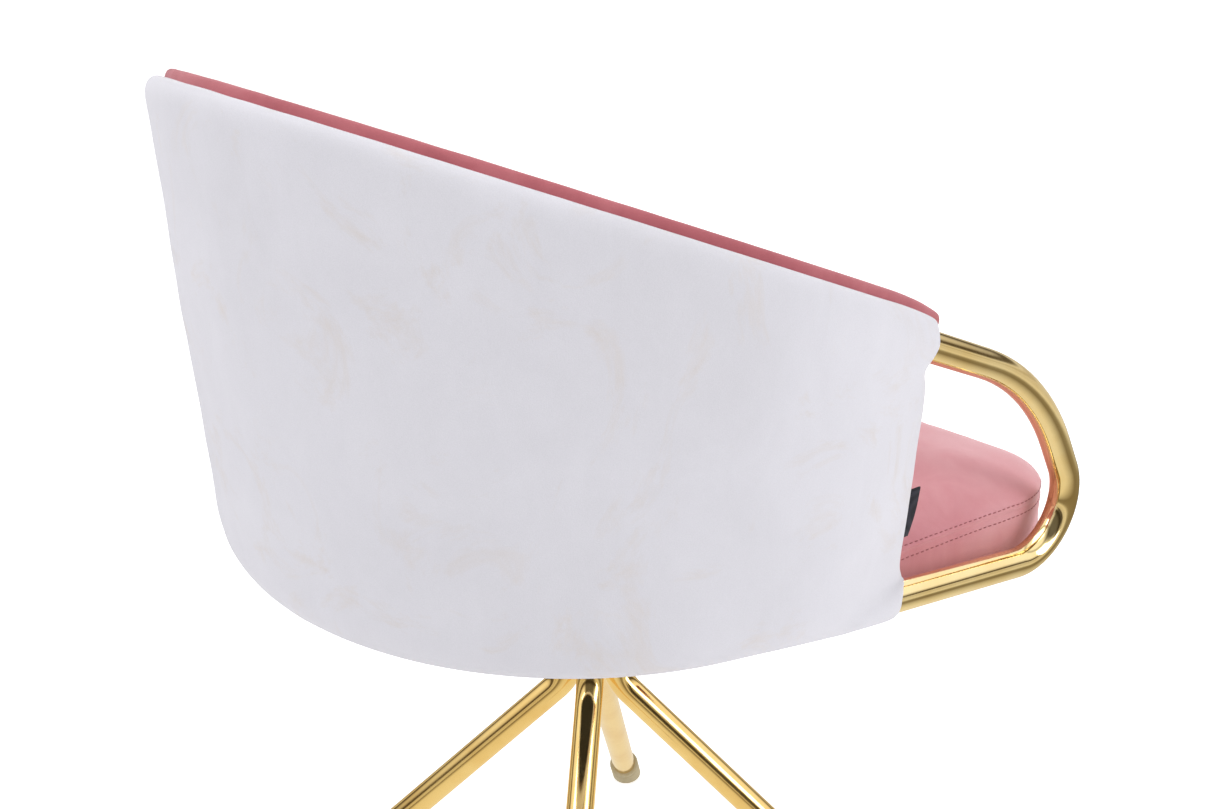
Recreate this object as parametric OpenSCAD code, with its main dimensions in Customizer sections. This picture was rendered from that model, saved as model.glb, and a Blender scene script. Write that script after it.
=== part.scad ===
// Swivel tub chair: a padded bucket shell with two bent-tube arm loops, on four splayed tube legs.
// +Z is up, the sitter faces -Y, and the origin is on the floor under the swivel axis.

/* [Shell] */
// Height of the shell's underside
shell_base_z = 416; // [412:1:420]
// Outer radius of the shell at its underside
shell_base_r = 265.5; // [264:0.5:268]
// Outward lean of the wall, per millimetre of height
shell_lean = 0.082; // [0.078:0.001:0.09]
// Distance of the shell's centre behind the swivel axis
shell_centre_y = 15; // [12:1:18]
// Radius of the rounded bottom edge
shell_edge_r = 20; // [12:1:22]
// Height of the rim at the middle of the back
rim_back_z = 790; // [770:1:800]
// Fall of the rim from back to front, in degrees
rim_fall = 22.2; // [21:0.1:23]
// Distance of the shell's front edges ahead of the swivel axis
shell_front = 75; // [70:1:76]

/* [Shell layers] */
// Thickness of the velvet cover with its backing
cover_t = 3; // [2:0.5:4]
// Depth of the outer cover's fold over the rim
rim_fold = 24; // [20:1:28]
// Depth of the wall at which the plywood core starts
core_depth = 35; // [34:0.5:36]
// Thickness of the plywood core
core_t = 8; // [6:0.5:9]
// Full thickness of the padded wall
wall_t = 58; // [54:1:60]
// Height of the piping above the rim
piping_h = 8; // [6:1:9]
// Width of the piping
piping_w = 12; // [8:1:12]

/* [Seat] */
// Thickness of the plywood seat board
board_t = 12; // [10:1:15]
// Half width of the cushion in front of the shell
cushion_half_w = 240; // [236:1:240]
// Distance of the cushion's front ahead of the swivel axis
cushion_front = 301; // [298:1:306]
// Height of the cushion's top
cushion_top_z = 464; // [460:1:472]
// Radius of the cushion's front corners
cushion_corner_r = 80; // [40:1:90]

/* [Arm loops] */
// Radius of the arm tubes
arm_r = 11; // [10:0.5:11]
// Wall thickness of all tubes
tube_wall = 1.5; // [1:0.1:2]
// Distance of the lower arm run from the chair's centre plane
arm_half_w = 252; // [252:0.5:254]
// Height of the lower arm run where it enters the shell
arm_low_z = 425; // [424.5:0.5:427]
// Outward tilt of the arm loops, in degrees
arm_tilt = 2.6; // [2:0.1:3]
// Fall of the lower arm run towards the front, in degrees
arm_low_fall = 6; // [4:0.5:7]
// Distance of the front corner of the loop ahead of the swivel axis
arm_corner = 289.5; // [286:0.5:292]
// Slope of the loop's front run, in degrees
arm_front_slope = 59.6; // [58:0.2:61]
// Length of the loop's front run between its two corners
arm_front_run = 182; // [180:1:184]
// Slope of the armrest, in degrees
arm_rest_slope = 22.8; // [21:0.2:23]
// Bend radius at the loop's front corner
arm_corner_r = 45; // [40:1:50]
// Bend radius where the front run becomes the armrest
arm_rest_r = 200; // [160:5:210]
// Length of each arm end held inside the shell
arm_stub = 46; // [44:1:48]

/* [Base] */
// Radius of the leg tubes
leg_r = 11; // [10:0.5:11]
// Height at which the legs would turn from upright to sloping if they had no bend radius
leg_knee_z = 281; // [260:1:300]
// Slope of the legs, in degrees from upright
leg_splay = 45; // [42:1:48]
// Bend radius of the knee
leg_knee_r = 50; // [40:1:60]
// Height of the tube's lower end above the floor
leg_end_z = 13; // [12:0.5:16]
// Outer radius of the foot caps
foot_r = 14; // [13.5:0.5:16]

/* [Swivel] */
// Radius of the upper swivel plate
upper_plate_r = 85; // [80:1:90]
// Radius of the lower swivel plate and the base plate
lower_plate_r = 62; // [60:1:64]
// Thickness of the swivel plates
plate_t = 5; // [4:0.5:6]
// Radius of the circle the bearing balls run on
ball_circle_r = 50; // [48:1:51]
// Number of bearing balls
ball_count = 24; // [12:1:30]
// Radius of the bearing balls
ball_r = 3; // [2.8:0.1:3.2]
// Radius of the king pin
pin_r = 8; // [6:0.5:9]

/* [Hidden] */
$fn = 96;

velvet_white = [0.86, 0.85, 0.88];
velvet_pink = [0.76, 0.47, 0.50];
plywood = [0.78, 0.64, 0.44];
foam = [0.93, 0.88, 0.70];
gold = [0.83, 0.66, 0.32];
zinc = [0.72, 0.73, 0.75];
black = [0.08, 0.08, 0.10];

// Small clearances: between layers that touch, between parts that turn, round a ball, round a screw
gap = 0.2;
run_gap = 0.05;
ball_gap = 0.3;
screw_gap = 0.3;
// How far a cutting shape reaches past the face it cuts
cut = 1;
// The straight runs of a bent tube reach into its bends by a lap, and are thinner by a hair
bend_lap = 1;
hair = 0.05;
far = 1000;

left = 1;
right = -1;

// Rim plane and the seat's stack of heights
rim_back_y = shell_centre_y + shell_base_r + shell_lean * (rim_back_z - shell_base_z);
wall_top_z = rim_back_z + 2 * piping_h;
board_z = shell_base_z + cover_t;
board_top_z = board_z + board_t;
dust_t = 0.8;
dust_z = board_z - dust_t;
board_side = 14;
wing_half_w = cushion_half_w - board_side;
wing_front = cushion_front - board_side;
wing_corner_r = cushion_corner_r - board_side;
ear_gap = 1.5;
cushion_step = 5;
cushion_wall_gap = 1;
cushion_skirt = 7;
cushion_base_z = board_z - cushion_skirt;
dust_margin = 6;
bottom_fold = 66;

// Front edges of the wall's layers, which the cover and the lining wrap round
core_front = shell_front - 2 * cover_t;
fold_front = core_front + gap;

// Swivel heights, from the seat down to the legs
upper_plate_z = dust_z - plate_t;
race_gap = 3.6;
lower_plate_z = upper_plate_z - race_gap - plate_t;
base_plate_z = lower_plate_z - plate_t;
ball_z = upper_plate_z - race_gap / 2;
cage_half_w = 7;
cage_t = 2;
bush_wall = 3;
seat_bolt_circle_r = upper_plate_r - 11;
seat_bolt_r = 4;
seat_bolt_head_r = 6.4;
seat_bolt_head_t = 5;
tee_nut_r = 5.5;
plate_screw_circle_r = 34;
plate_screw_r = 3;
plate_screw_head_t = 3;
plate_screw_tail = 7;
plate_nut_r = 5.7;
plate_nut_t = 5;
pin_top_z = board_top_z - 1;
pivot_washer_r = 16;
pivot_washer_t = 2;
pivot_nut_r = 13.6;
pivot_nut_t = 8;
nut_recess_r = 22;

// Corners of an arm loop's centre line, as distances behind the swivel axis and heights
function polar(length, angle) = [length * cos(angle), length * sin(angle)];
arm_entry_low = [-shell_front, arm_low_z];
arm_corner_low = [-arm_corner, arm_low_z - (arm_corner - shell_front) * tan(arm_low_fall)];
arm_corner_high = arm_corner_low + polar(arm_front_run, arm_front_slope);
arm_rest_run = -shell_front - arm_corner_high[0];
arm_entry_high = arm_corner_high + arm_rest_run * [1, tan(arm_rest_slope)];
arm_end_low = arm_entry_low + polar(arm_stub, arm_low_fall);
arm_end_high = arm_entry_high + polar(arm_stub, arm_rest_slope);

// Sleeve of the cover over each arm end, with its reach ahead of the shell's edge and behind it
sleeve_t = 3.5;
sleeve_out = 9;
sleeve_in = 44;

// Arm straps, their bolts, and the room left where a flat end meets the curved core
strap_y = -38;
strap_w = 30;
strap_t = 4;
strap_room = 1;
strap_low_z = 421;
strap_high_z = 632;
arm_bolt_heights = [460, 530, 600];
arm_bolt_r = 3;
arm_bolt_head_r = 5.5;
arm_bolt_head_t = 3.5;
spacer_r = 6.5;
curve_room = 2;

// Folded label at the sitter's right
label_x = 247;
label_out = 16;
label_h = 34;
label_t = 0.8;

// Leg centre line, as distances from the swivel axis and heights
leg_bundle_r = leg_r * sqrt(2) + 0.3;
leg_top = [leg_bundle_r, base_plate_z];
leg_knee = [leg_bundle_r, leg_knee_z];
leg_reach = leg_bundle_r + leg_knee_z * tan(leg_splay);
leg_end = [leg_reach - leg_end_z * tan(leg_splay), leg_end_z];

// Foot cap: its grip on the leg, and its reach past the leg's end before the floor cuts it off
cap_grip = 26;
cap_past = 3 * leg_end_z;

// ---- Bent tubes -------------------------------------------------------------------------------

// Directions along a path, the turn at each of its corners, and the length a bend takes from each side
function unit(v) = v / norm(v);
function run(path, i) = unit(path[i + 1] - path[i]);
function turn(path, i) = let (a = run(path, i - 1), b = run(path, i)) atan2(cross(a, b), a * b);
function trim(path, radii, i) = i == 0 || i == len(path) - 1 ? 0 : radii[i] * tan(abs(turn(path, i)) / 2);

// A straight rod in the XY plane, made longer at either end by a lap
module rod(from, to, r, lap_from = 0, lap_to = 0) {
    along = to - from;
    start = from - lap_from * unit(along);
    translate([start[0], start[1], 0])
        rotate([0, 90, atan2(along[1], along[0])])
            cylinder(h = norm(along) + lap_from + lap_to, r = r);
}

// A round bar that follows a path in the XY plane, with a bend of its own radius at each corner
module bent_rod(path, radii, r) {
    last = len(path) - 1;
    for (i = [0 : last - 1]) {
        start = path[i] + run(path, i) * trim(path, radii, i);
        end = path[i + 1] - run(path, i) * trim(path, radii, i + 1);
        rod(start, end, r - hair, i == 0 ? 0 : bend_lap, i == last - 1 ? 0 : bend_lap);
    }
    for (i = [1 : last - 1]) {
        angle = turn(path, i);
        side = sign(angle);
        before = run(path, i - 1);
        outward = side * [before[1], -before[0]];
        centre = path[i] - before * trim(path, radii, i) - outward * radii[i];
        first = atan2(outward[1], outward[0]) + (side < 0 ? angle : 0);
        translate([centre[0], centre[1], 0])
            rotate([0, 0, first])
                rotate_extrude(angle = abs(angle))
                    translate([radii[i], 0])
                        circle(r = r);
    }
}

module bent_tube(path, radii, r, wall) {
    last = len(path) - 1;
    longer = [for (i = [0 : last])
        i == 0 ? path[0] - run(path, 0) : i == last ? path[last] + run(path, last - 1) : path[i]];
    difference() {
        bent_rod(path, radii, r);
        bent_rod(longer, radii, r - wall);
    }
}

// ---- Shell envelope ---------------------------------------------------------------------------

function shell_r(z, depth) = shell_base_r - depth + shell_lean * (z - shell_base_z);

// Half profile of the bucket, taken a given depth inside its outer face, with its rounded bottom edge
module bucket_profile(depth) {
    r = shell_edge_r - depth;
    slant = sqrt(1 + pow(shell_lean, 2));
    base_z = shell_base_z + depth;
    centre_r = shell_r(base_z, depth) + shell_lean * r - r * slant;
    polygon([
        [0, base_z], [centre_r, base_z],
        [centre_r + r / slant, base_z + r - shell_lean * r / slant],
        [shell_r(wall_top_z, depth), wall_top_z], [0, wall_top_z]
    ]);
    translate([centre_r, base_z + r])
        circle(r = r);
}

// Half profile of everything inside the wall, from a given depth inside its outer face
module inside_profile(depth) {
    polygon([[0, 0], [shell_r(0, depth), 0], [shell_r(far, depth), far], [0, far]]);
}

// Half profile of a slice of the wall between two depths
module wall_profile(depth_out, depth_in, low_z) {
    polygon([
        [shell_r(low_z, depth_in), low_z], [shell_r(low_z, depth_out), low_z],
        [shell_r(wall_top_z, depth_out), wall_top_z], [shell_r(wall_top_z, depth_in), wall_top_z]
    ]);
}

module spin_about_shell() {
    translate([0, shell_centre_y, 0])
        rotate_extrude()
            children();
}

// Everything above the sloping rim plane, lifted by a given height
module above_rim(lift) {
    translate([0, rim_back_y, rim_back_z + lift])
        rotate([rim_fall, 0, 0])
            translate([-far / 2, -far, 0])
                cube([far, 1.5 * far, far]);
}

// Everything ahead of a plane across the chair
module ahead_of(y) {
    translate([-far / 2, y - far, 0])
        cube([far, far, far]);
}

// A slice of wall below the rim plane and behind a front plane
module wall(depth_out, depth_in, low_z, lift, front_y) {
    difference() {
        spin_about_shell()
            wall_profile(depth_out, depth_in, low_z);
        above_rim(lift);
        ahead_of(front_y);
    }
}

// Puts a shape drawn in the arm loop's plane in its place beside the seat
module in_arm_plane(side) {
    translate([side * arm_half_w, 0, arm_low_z])
        rotate([0, side * arm_tilt, 0])
            translate([0, 0, -arm_low_z])
                rotate([90, 0, 90])
                    children();
}

// The four arm ends where they enter the shell, from a start ahead of the edge to a depth behind it
module arm_ends(r, out, depth) {
    for (side = [left, right])
        in_arm_plane(side) {
            slope_low = unit([1, tan(arm_low_fall)]);
            slope_high = unit([1, tan(arm_rest_slope)]);
            rod(arm_entry_low - out * slope_low, arm_entry_low + depth * slope_low, r);
            rod(arm_entry_high - out * slope_high, arm_entry_high + depth * slope_high, r);
        }
}

// Distance from the chair's centre plane, at an arm bolt's height, of a depth in the wall and of the strap
function wall_x(z, depth) = sqrt(pow(shell_r(z, depth), 2) - pow(strap_y - shell_centre_y, 2));
function strap_x(z) = arm_half_w - arm_r - strap_t + (z - arm_low_z) * tan(arm_tilt);
head_ends = [for (z = arm_bolt_heights) wall_x(z, core_depth + core_t) - curve_room];
spacer_starts = [for (z = arm_bolt_heights) wall_x(z, core_depth) + curve_room];
spacer_ends = [for (z = arm_bolt_heights) strap_x(z) - 2 * gap];

// Rods across the chair at each arm bolt, on both sides, from one list of distances to another
module arm_bolt_rods(r, starts, ends, before = 0, after = 0) {
    for (side = [left, right], i = [0 : len(arm_bolt_heights) - 1])
        translate([side * (starts[i] - before), strap_y, arm_bolt_heights[i]])
            rotate([0, side * 90, 0])
                cylinder(h = ends[i] - starts[i] + before + after, r = r);
}

// ---- Shell ------------------------------------------------------------------------------------

module shell_core() {
    color(plywood)
        difference() {
            wall(core_depth, core_depth + core_t, board_z + gap, -cover_t, -core_front);
            arm_bolt_rods(arm_bolt_r + gap, head_ends, spacer_starts);
        }
}

// Box of an arm strap, beside the tubes on their inner side, with room round it
module strap_box(side, room) {
    middle = -side * (arm_r + strap_t / 2);
    in_arm_plane(side)
        translate([strap_y - strap_w / 2 - room, strap_low_z - room, middle - strap_t / 2 - room])
            cube([strap_w + 2 * room, strap_high_z - strap_low_z + 2 * room, strap_t + 2 * room]);
}

module shell_padding() {
    color(foam)
        difference() {
            spin_about_shell()
                difference() {
                    bucket_profile(cover_t + gap);
                    inside_profile(core_depth - gap);
                }
            above_rim(-cover_t - gap);
            ahead_of(-core_front);
            arm_ends(arm_r + sleeve_t + gap, 0, sleeve_in + gap);
            arm_ends(arm_r + gap, 0, arm_stub + cut);
            strap_box(left, strap_room);
            strap_box(right, strap_room);
            arm_bolt_rods(spacer_r + gap, head_ends, spacer_ends, 0, strap_t + 2 * strap_room);
        }
}

// The velvet skin: wall, fold over the rim, front edges, fold under the bottom, and a sleeve at each arm end
module outer_cover() {
    color(velvet_white)
        difference() {
            union() {
                difference() {
                    spin_about_shell()
                        difference() {
                            bucket_profile(0);
                            bucket_profile(cover_t);
                            square([shell_base_r - bottom_fold, far]);
                        }
                    above_rim(0);
                    ahead_of(-shell_front);
                }
                intersection() {
                    wall(cover_t / 2, rim_fold, board_z + shell_edge_r, 0, -shell_front);
                    above_rim(-cover_t);
                }
                intersection() {
                    wall(cover_t / 2, core_depth, board_z + shell_edge_r, -cover_t + gap / 2, -shell_front);
                    ahead_of(-fold_front);
                }
                arm_ends(arm_r + sleeve_t, sleeve_out, sleeve_in);
            }
            arm_ends(arm_r + gap, sleeve_out + cut, arm_stub + cut);
            strap_box(left, strap_room);
            strap_box(right, strap_room);
        }
}

// The padded lining: inner wall, its fold over the rim, and its front edges
module inner_pad() {
    color(velvet_pink)
        difference() {
            union() {
                wall(core_depth + core_t + gap, wall_t, board_top_z + gap, 0, -shell_front);
                intersection() {
                    wall(rim_fold + gap, wall_t, board_top_z + gap, 0.75 * piping_h, -shell_front);
                    above_rim(-cover_t + gap);
                }
                intersection() {
                    wall(core_depth + gap, wall_t, board_top_z + gap, 0, -shell_front);
                    ahead_of(-fold_front);
                }
            }
            arm_bolt_rods(arm_bolt_head_r + gap, head_ends, spacer_starts, arm_bolt_head_t + gap);
        }
}

// Raised edge along the rim, and down both front edges to the cushion
module rim_piping() {
    color(velvet_pink) {
        intersection() {
            wall(rim_fold - piping_w, rim_fold, shell_base_z, piping_h, -shell_front);
            above_rim(gap);
        }
        intersection() {
            wall(rim_fold, rim_fold + piping_h, cushion_top_z + gap, piping_h, -shell_front - piping_h);
            ahead_of(-shell_front - gap);
        }
    }
}

module care_label() {
    color(black)
        translate([right * label_x - label_t / 2, -shell_front - label_out, cushion_top_z + 3])
            cube([label_t, label_out - gap, label_h]);
}

// ---- Seat -------------------------------------------------------------------------------------

// Outline of the seat in front of the shell, with round front corners
module front_outline(half_w, front, corner_r) {
    rear = shell_front + ear_gap;
    translate([-half_w, -front + corner_r])
        square([2 * half_w, front - corner_r - rear]);
    translate([-half_w + corner_r, -front])
        square([2 * (half_w - corner_r), corner_r + cut]);
    for (side = [left, right])
        translate([side * (half_w - corner_r), -front + corner_r])
            circle(r = corner_r);
}

// Outline of the seat inside the shell
module rear_outline(r) {
    intersection() {
        translate([0, shell_centre_y])
            circle(r = r);
        translate([-far / 2, -shell_front - ear_gap - cut])
            square([far, far]);
    }
}

module board_outline() {
    front_outline(wing_half_w, wing_front, wing_corner_r);
    rear_outline(shell_r(board_z, core_depth + core_t + gap));
}

module seat_board() {
    color(plywood)
        difference() {
            translate([0, 0, board_z])
                linear_extrude(board_t)
                    board_outline();
            translate([0, 0, board_z - cut])
                cylinder(h = board_t + 2 * cut, r = nut_recess_r);
            at_seat_bolts()
                translate([0, 0, board_z - cut])
                    cylinder(h = board_t + 2 * cut, r = tee_nut_r + gap);
        }
}

// The cushion, hollowed underneath to sit over the board, and notched round the cover's sleeves
module seat_cushion() {
    color(velvet_pink)
        difference() {
            union() {
                translate([0, 0, cushion_base_z])
                    linear_extrude(cushion_top_z - cushion_base_z)
                        front_outline(cushion_half_w, cushion_front, cushion_corner_r);
                translate([0, 0, board_top_z + gap])
                    linear_extrude(cushion_top_z - board_top_z - gap)
                        rear_outline(shell_r(board_top_z, wall_t + cushion_wall_gap));
            }
            translate([0, 0, cushion_base_z - cut])
                linear_extrude(board_top_z + gap + cut - cushion_base_z)
                    front_outline(wing_half_w + gap, wing_front + gap, wing_corner_r + gap);
            translate([-far / 2, -shell_front - cushion_step, 0])
                cube([far, far, board_top_z + gap]);
            arm_ends(arm_r + sleeve_t + gap, sleeve_out + gap, cut);
        }
}

module dust_cover() {
    color(black)
        translate([0, 0, dust_z])
            linear_extrude(dust_t)
                difference() {
                    union() {
                        front_outline(wing_half_w - dust_margin, wing_front - dust_margin,
                                      wing_corner_r - dust_margin);
                        rear_outline(shell_base_r - bottom_fold - gap);
                    }
                    at_seat_bolts()
                        circle(r = seat_bolt_r + screw_gap);
                    circle(r = nut_recess_r);
                }
}

// ---- Arm loops --------------------------------------------------------------------------------

module arm(side) {
    color(gold)
        in_arm_plane(side)
            bent_tube([arm_end_low, arm_corner_low, arm_corner_high, arm_end_high],
                      [0, arm_corner_r, arm_rest_r, 0], arm_r, tube_wall);
}

module arm_left() { arm(left); }
module arm_right() { arm(right); }

// Flat bar welded across both ends of an arm loop, with a tapped hole for each bolt
module arm_strap(side) {
    color(zinc)
        difference() {
            strap_box(side, 0);
            arm_bolt_rods(arm_bolt_r + run_gap, spacer_starts, spacer_ends, 0, strap_t + 2 * strap_room);
        }
}

module arm_strap_left() { arm_strap(left); }
module arm_strap_right() { arm_strap(right); }

module arm_spacers() {
    color(zinc)
        difference() {
            arm_bolt_rods(spacer_r, spacer_starts, spacer_ends);
            arm_bolt_rods(arm_bolt_r + gap, spacer_starts, spacer_ends, cut, cut);
        }
}

module arm_bolts() {
    color(zinc) {
        arm_bolt_rods(arm_bolt_r, head_ends, spacer_ends, cut, strap_t + 2 * gap);
        arm_bolt_rods(arm_bolt_head_r, head_ends, head_ends, arm_bolt_head_t);
    }
}

// ---- Swivel -----------------------------------------------------------------------------------

module at_seat_bolts() {
    for (a = [45 : 90 : 315])
        rotate(a)
            translate([seat_bolt_circle_r, 0])
                children();
}

module at_plate_screws() {
    for (a = [0 : 90 : 270])
        rotate(a)
            translate([plate_screw_circle_r, 0])
                children();
}

// Ring groove that the balls run in
module race() {
    translate([0, 0, ball_z])
        rotate_extrude()
            translate([ball_circle_r, 0])
                circle(r = ball_r + ball_gap);
}

module tee_nuts() {
    color(zinc)
        at_seat_bolts()
            difference() {
                translate([0, 0, board_z + gap])
                    cylinder(h = board_t - 2 * gap, r = tee_nut_r);
                translate([0, 0, board_z])
                    cylinder(h = board_t, r = seat_bolt_r + run_gap);
            }
}

module seat_bolts() {
    head_top_z = upper_plate_z - gap;
    color(zinc)
        at_seat_bolts() {
            translate([0, 0, head_top_z - seat_bolt_head_t])
                cylinder(h = seat_bolt_head_t, r = seat_bolt_head_r, $fn = 6);
            translate([0, 0, head_top_z])
                cylinder(h = board_top_z - 1 - upper_plate_z, r = seat_bolt_r);
        }
}

module swivel_upper_plate() {
    color(zinc)
        difference() {
            translate([0, 0, upper_plate_z])
                cylinder(h = plate_t - gap, r = upper_plate_r);
            race();
            translate([0, 0, upper_plate_z - cut])
                cylinder(h = plate_t + 2 * cut, r = pin_r + bush_wall + run_gap);
            translate([0, 0, upper_plate_z - cut])
                at_seat_bolts()
                    cylinder(h = plate_t + 2 * cut, r = seat_bolt_r + screw_gap);
        }
}

module swivel_lower_plate() {
    hole_r = plate_screw_r + screw_gap;
    sink_t = plate_screw_head_t + gap;
    color(zinc)
        difference() {
            translate([0, 0, lower_plate_z])
                cylinder(h = plate_t, r = lower_plate_r);
            race();
            translate([0, 0, lower_plate_z - cut])
                cylinder(h = plate_t + 2 * cut, r = pin_r + run_gap);
            at_plate_screws() {
                translate([0, 0, lower_plate_z - cut])
                    cylinder(h = plate_t + 2 * cut, r = hole_r);
                translate([0, 0, lower_plate_z + plate_t - sink_t])
                    cylinder(h = sink_t + gap, r1 = hole_r, r2 = hole_r + plate_screw_r);
            }
        }
}

module base_plate() {
    color(gold)
        difference() {
            translate([0, 0, base_plate_z])
                cylinder(h = plate_t - gap, r = lower_plate_r);
            translate([0, 0, base_plate_z - cut])
                cylinder(h = plate_t + 2 * cut, r = pin_r + run_gap);
            translate([0, 0, base_plate_z - cut])
                at_plate_screws()
                    cylinder(h = plate_t + 2 * cut, r = plate_screw_r + screw_gap);
        }
}

module plate_screws() {
    head_z = lower_plate_z + plate_t - plate_screw_head_t;
    color(zinc)
        at_plate_screws() {
            translate([0, 0, base_plate_z - plate_screw_tail])
                cylinder(h = head_z + 1 - base_plate_z + plate_screw_tail, r = plate_screw_r);
            translate([0, 0, head_z])
                cylinder(h = plate_screw_head_t, r1 = plate_screw_r, r2 = 2 * plate_screw_r);
        }
}

module plate_nuts() {
    nut_z = base_plate_z - plate_nut_t - gap;
    color(zinc)
        at_plate_screws()
            difference() {
                translate([0, 0, nut_z])
                    cylinder(h = plate_nut_t, r = plate_nut_r, $fn = 6);
                translate([0, 0, nut_z - cut])
                    cylinder(h = plate_nut_t + 2 * cut, r = plate_screw_r + run_gap);
            }
}

module king_pin() {
    color(zinc)
        translate([0, 0, base_plate_z + gap])
            cylinder(h = pin_top_z - base_plate_z, r = pin_r);
}

// A ring or six-sided nut with a hole for the king pin
module round_pin(r, t, facets) {
    difference() {
        cylinder(h = t, r = r, $fn = facets);
        translate([0, 0, -cut])
            cylinder(h = t + 2 * cut, r = pin_r + run_gap);
    }
}

module pivot_bush() {
    color(gold)
        translate([0, 0, upper_plate_z])
            round_pin(pin_r + bush_wall, plate_t - gap, $fn);
}

module pivot_washer() {
    color(zinc)
        translate([0, 0, dust_z + gap])
            round_pin(pivot_washer_r, pivot_washer_t, $fn);
}

module pivot_nut() {
    color(zinc)
        translate([0, 0, dust_z + pivot_washer_t + 2 * gap])
            round_pin(pivot_nut_r, pivot_nut_t, 6);
}

module at_balls() {
    for (i = [0 : ball_count - 1])
        rotate(i * 360 / ball_count)
            translate([ball_circle_r, 0, ball_z])
                children();
}

module ball_cage() {
    color(black)
        difference() {
            translate([0, 0, ball_z - cage_t / 2])
                difference() {
                    cylinder(h = cage_t, r = ball_circle_r + cage_half_w);
                    translate([0, 0, -cut])
                        cylinder(h = cage_t + 2 * cut, r = ball_circle_r - cage_half_w);
                }
            at_balls()
                cylinder(h = 2 * cage_t, r = ball_r + ball_gap, center = true);
        }
}

module bearing_balls() {
    color(zinc)
        at_balls()
            sphere(r = ball_r, $fn = 24);
}

// ---- Legs and feet ----------------------------------------------------------------------------

// Turns a shape drawn in a leg's plane to the leg's corner of the chair
module in_leg_plane(side, corner) {
    rotate([90, 0, corner == "front" ? -90 + side * 45 : 90 - side * 45])
        children();
}

module leg(side, corner) {
    color(gold)
        in_leg_plane(side, corner)
            bent_tube([leg_top, leg_knee, leg_end], [0, leg_knee_r, 0], leg_r, tube_wall);
}

module foot(side, corner) {
    slope = unit(leg_end - leg_knee);
    color(black)
        difference() {
            in_leg_plane(side, corner)
                difference() {
                    rod(leg_end - cap_grip * slope, leg_end + cap_past * slope, foot_r);
                    rod(leg_end - (cap_grip + cut) * slope, leg_end + run_gap * slope, leg_r + run_gap);
                }
            translate([-far / 2, -far / 2, -far])
                cube([far, far, far]);
        }
}

module leg_front_left() { leg(left, "front"); }
module leg_front_right() { leg(right, "front"); }
module leg_rear_left() { leg(left, "rear"); }
module leg_rear_right() { leg(right, "rear"); }
module foot_front_left() { foot(left, "front"); }
module foot_front_right() { foot(right, "front"); }
module foot_rear_left() { foot(left, "rear"); }
module foot_rear_right() { foot(right, "rear"); }

shell_core();
shell_padding();
outer_cover();
inner_pad();
rim_piping();
seat_board();
seat_cushion();
dust_cover();
care_label();
arm_left();
arm_right();
arm_strap_left();
arm_strap_right();
arm_spacers();
arm_bolts();
tee_nuts();
seat_bolts();
swivel_upper_plate();
pivot_bush();
pivot_washer();
pivot_nut();
king_pin();
swivel_lower_plate();
ball_cage();
bearing_balls();
base_plate();
plate_screws();
plate_nuts();
leg_front_left();
leg_front_right();
leg_rear_left();
leg_rear_right();
foot_front_left();
foot_front_right();
foot_rear_left();
foot_rear_right();
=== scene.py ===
# Looks of the swivel tub chair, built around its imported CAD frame. Metres throughout.
import math
from contextlib import contextmanager

import bmesh
import bpy
import numpy as np
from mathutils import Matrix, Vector
from mathutils.bvhtree import BVHTree


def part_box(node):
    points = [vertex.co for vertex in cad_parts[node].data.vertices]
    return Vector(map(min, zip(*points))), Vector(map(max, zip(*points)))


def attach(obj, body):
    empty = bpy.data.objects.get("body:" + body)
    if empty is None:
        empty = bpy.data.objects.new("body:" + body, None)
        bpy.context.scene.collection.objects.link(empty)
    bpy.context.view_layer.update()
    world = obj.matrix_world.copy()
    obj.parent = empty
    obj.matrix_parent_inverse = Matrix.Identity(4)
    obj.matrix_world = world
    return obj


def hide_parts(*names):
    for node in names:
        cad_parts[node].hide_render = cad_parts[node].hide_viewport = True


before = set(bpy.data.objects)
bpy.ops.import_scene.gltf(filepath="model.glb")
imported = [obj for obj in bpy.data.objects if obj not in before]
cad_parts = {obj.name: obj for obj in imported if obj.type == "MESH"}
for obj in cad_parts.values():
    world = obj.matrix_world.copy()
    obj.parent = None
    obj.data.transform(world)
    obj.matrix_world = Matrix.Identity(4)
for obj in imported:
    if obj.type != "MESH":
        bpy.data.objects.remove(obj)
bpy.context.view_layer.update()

# ---- Sizes and places ---------------------------------------------------------------------------
LEAN = 0.082  # outward lean of the shell wall, per metre of height
RIM_FALL = math.tan(math.radians(22.2))  # fall of the rim per metre towards the front
CENTRE_Y = 0.015  # the shell's own axis, behind the swivel axis
RIM_ROUND = 0.020  # roundness of the shell's outer edges in height
DEPTH_ROUND = 0.012  # and in depth
LOW_ROUND = 0.003  # small roundness left at the bottom edge before it is lifted
FRONT_ROUND = 0.008  # roundness of its front edges, along the wall
CORNER_FLARE = 0.024  # how far the rim's two front corners lean ahead of the shell's front plane
CORNER_DROP = 0.004  # how much lower than the rim's own slope they end
CORNER_FADE = (0.055, 0.042)  # how far behind and below each corner that lean fades out
SEAM_DEPTH = 0.0245  # depth in the wall at which the white cover meets the pink lining
WALL_DEPTH = 0.058  # full thickness of the padded wall
PIPING_DEPTH = 0.0185  # depth in the wall of the piping's middle
PIPING_SIZE = (0.0082, 0.0118)  # width and height of the piping
LINING_SEAM = 0.95  # angle of the lining's two upright seams from straight back, in radians
HEM_START = 0.021  # depth in from the outer face at which the cover's hem starts under the shell
HEM_DEPTH = 0.066  # and at which it ends
EDGE_R = (0.048, 0.020)  # radius of the shell's rounded bottom edge at the back, and at its front edges
EDGE_R_SPAN = (1.35, 1.85)  # between these angles from straight back, it goes from one to the other
EDGE_LIFT_H = 0.13  # height over which the wall takes up that rounding
SOCK_R = 0.0148  # radius of the cover where it is drawn over an arm tube
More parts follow.
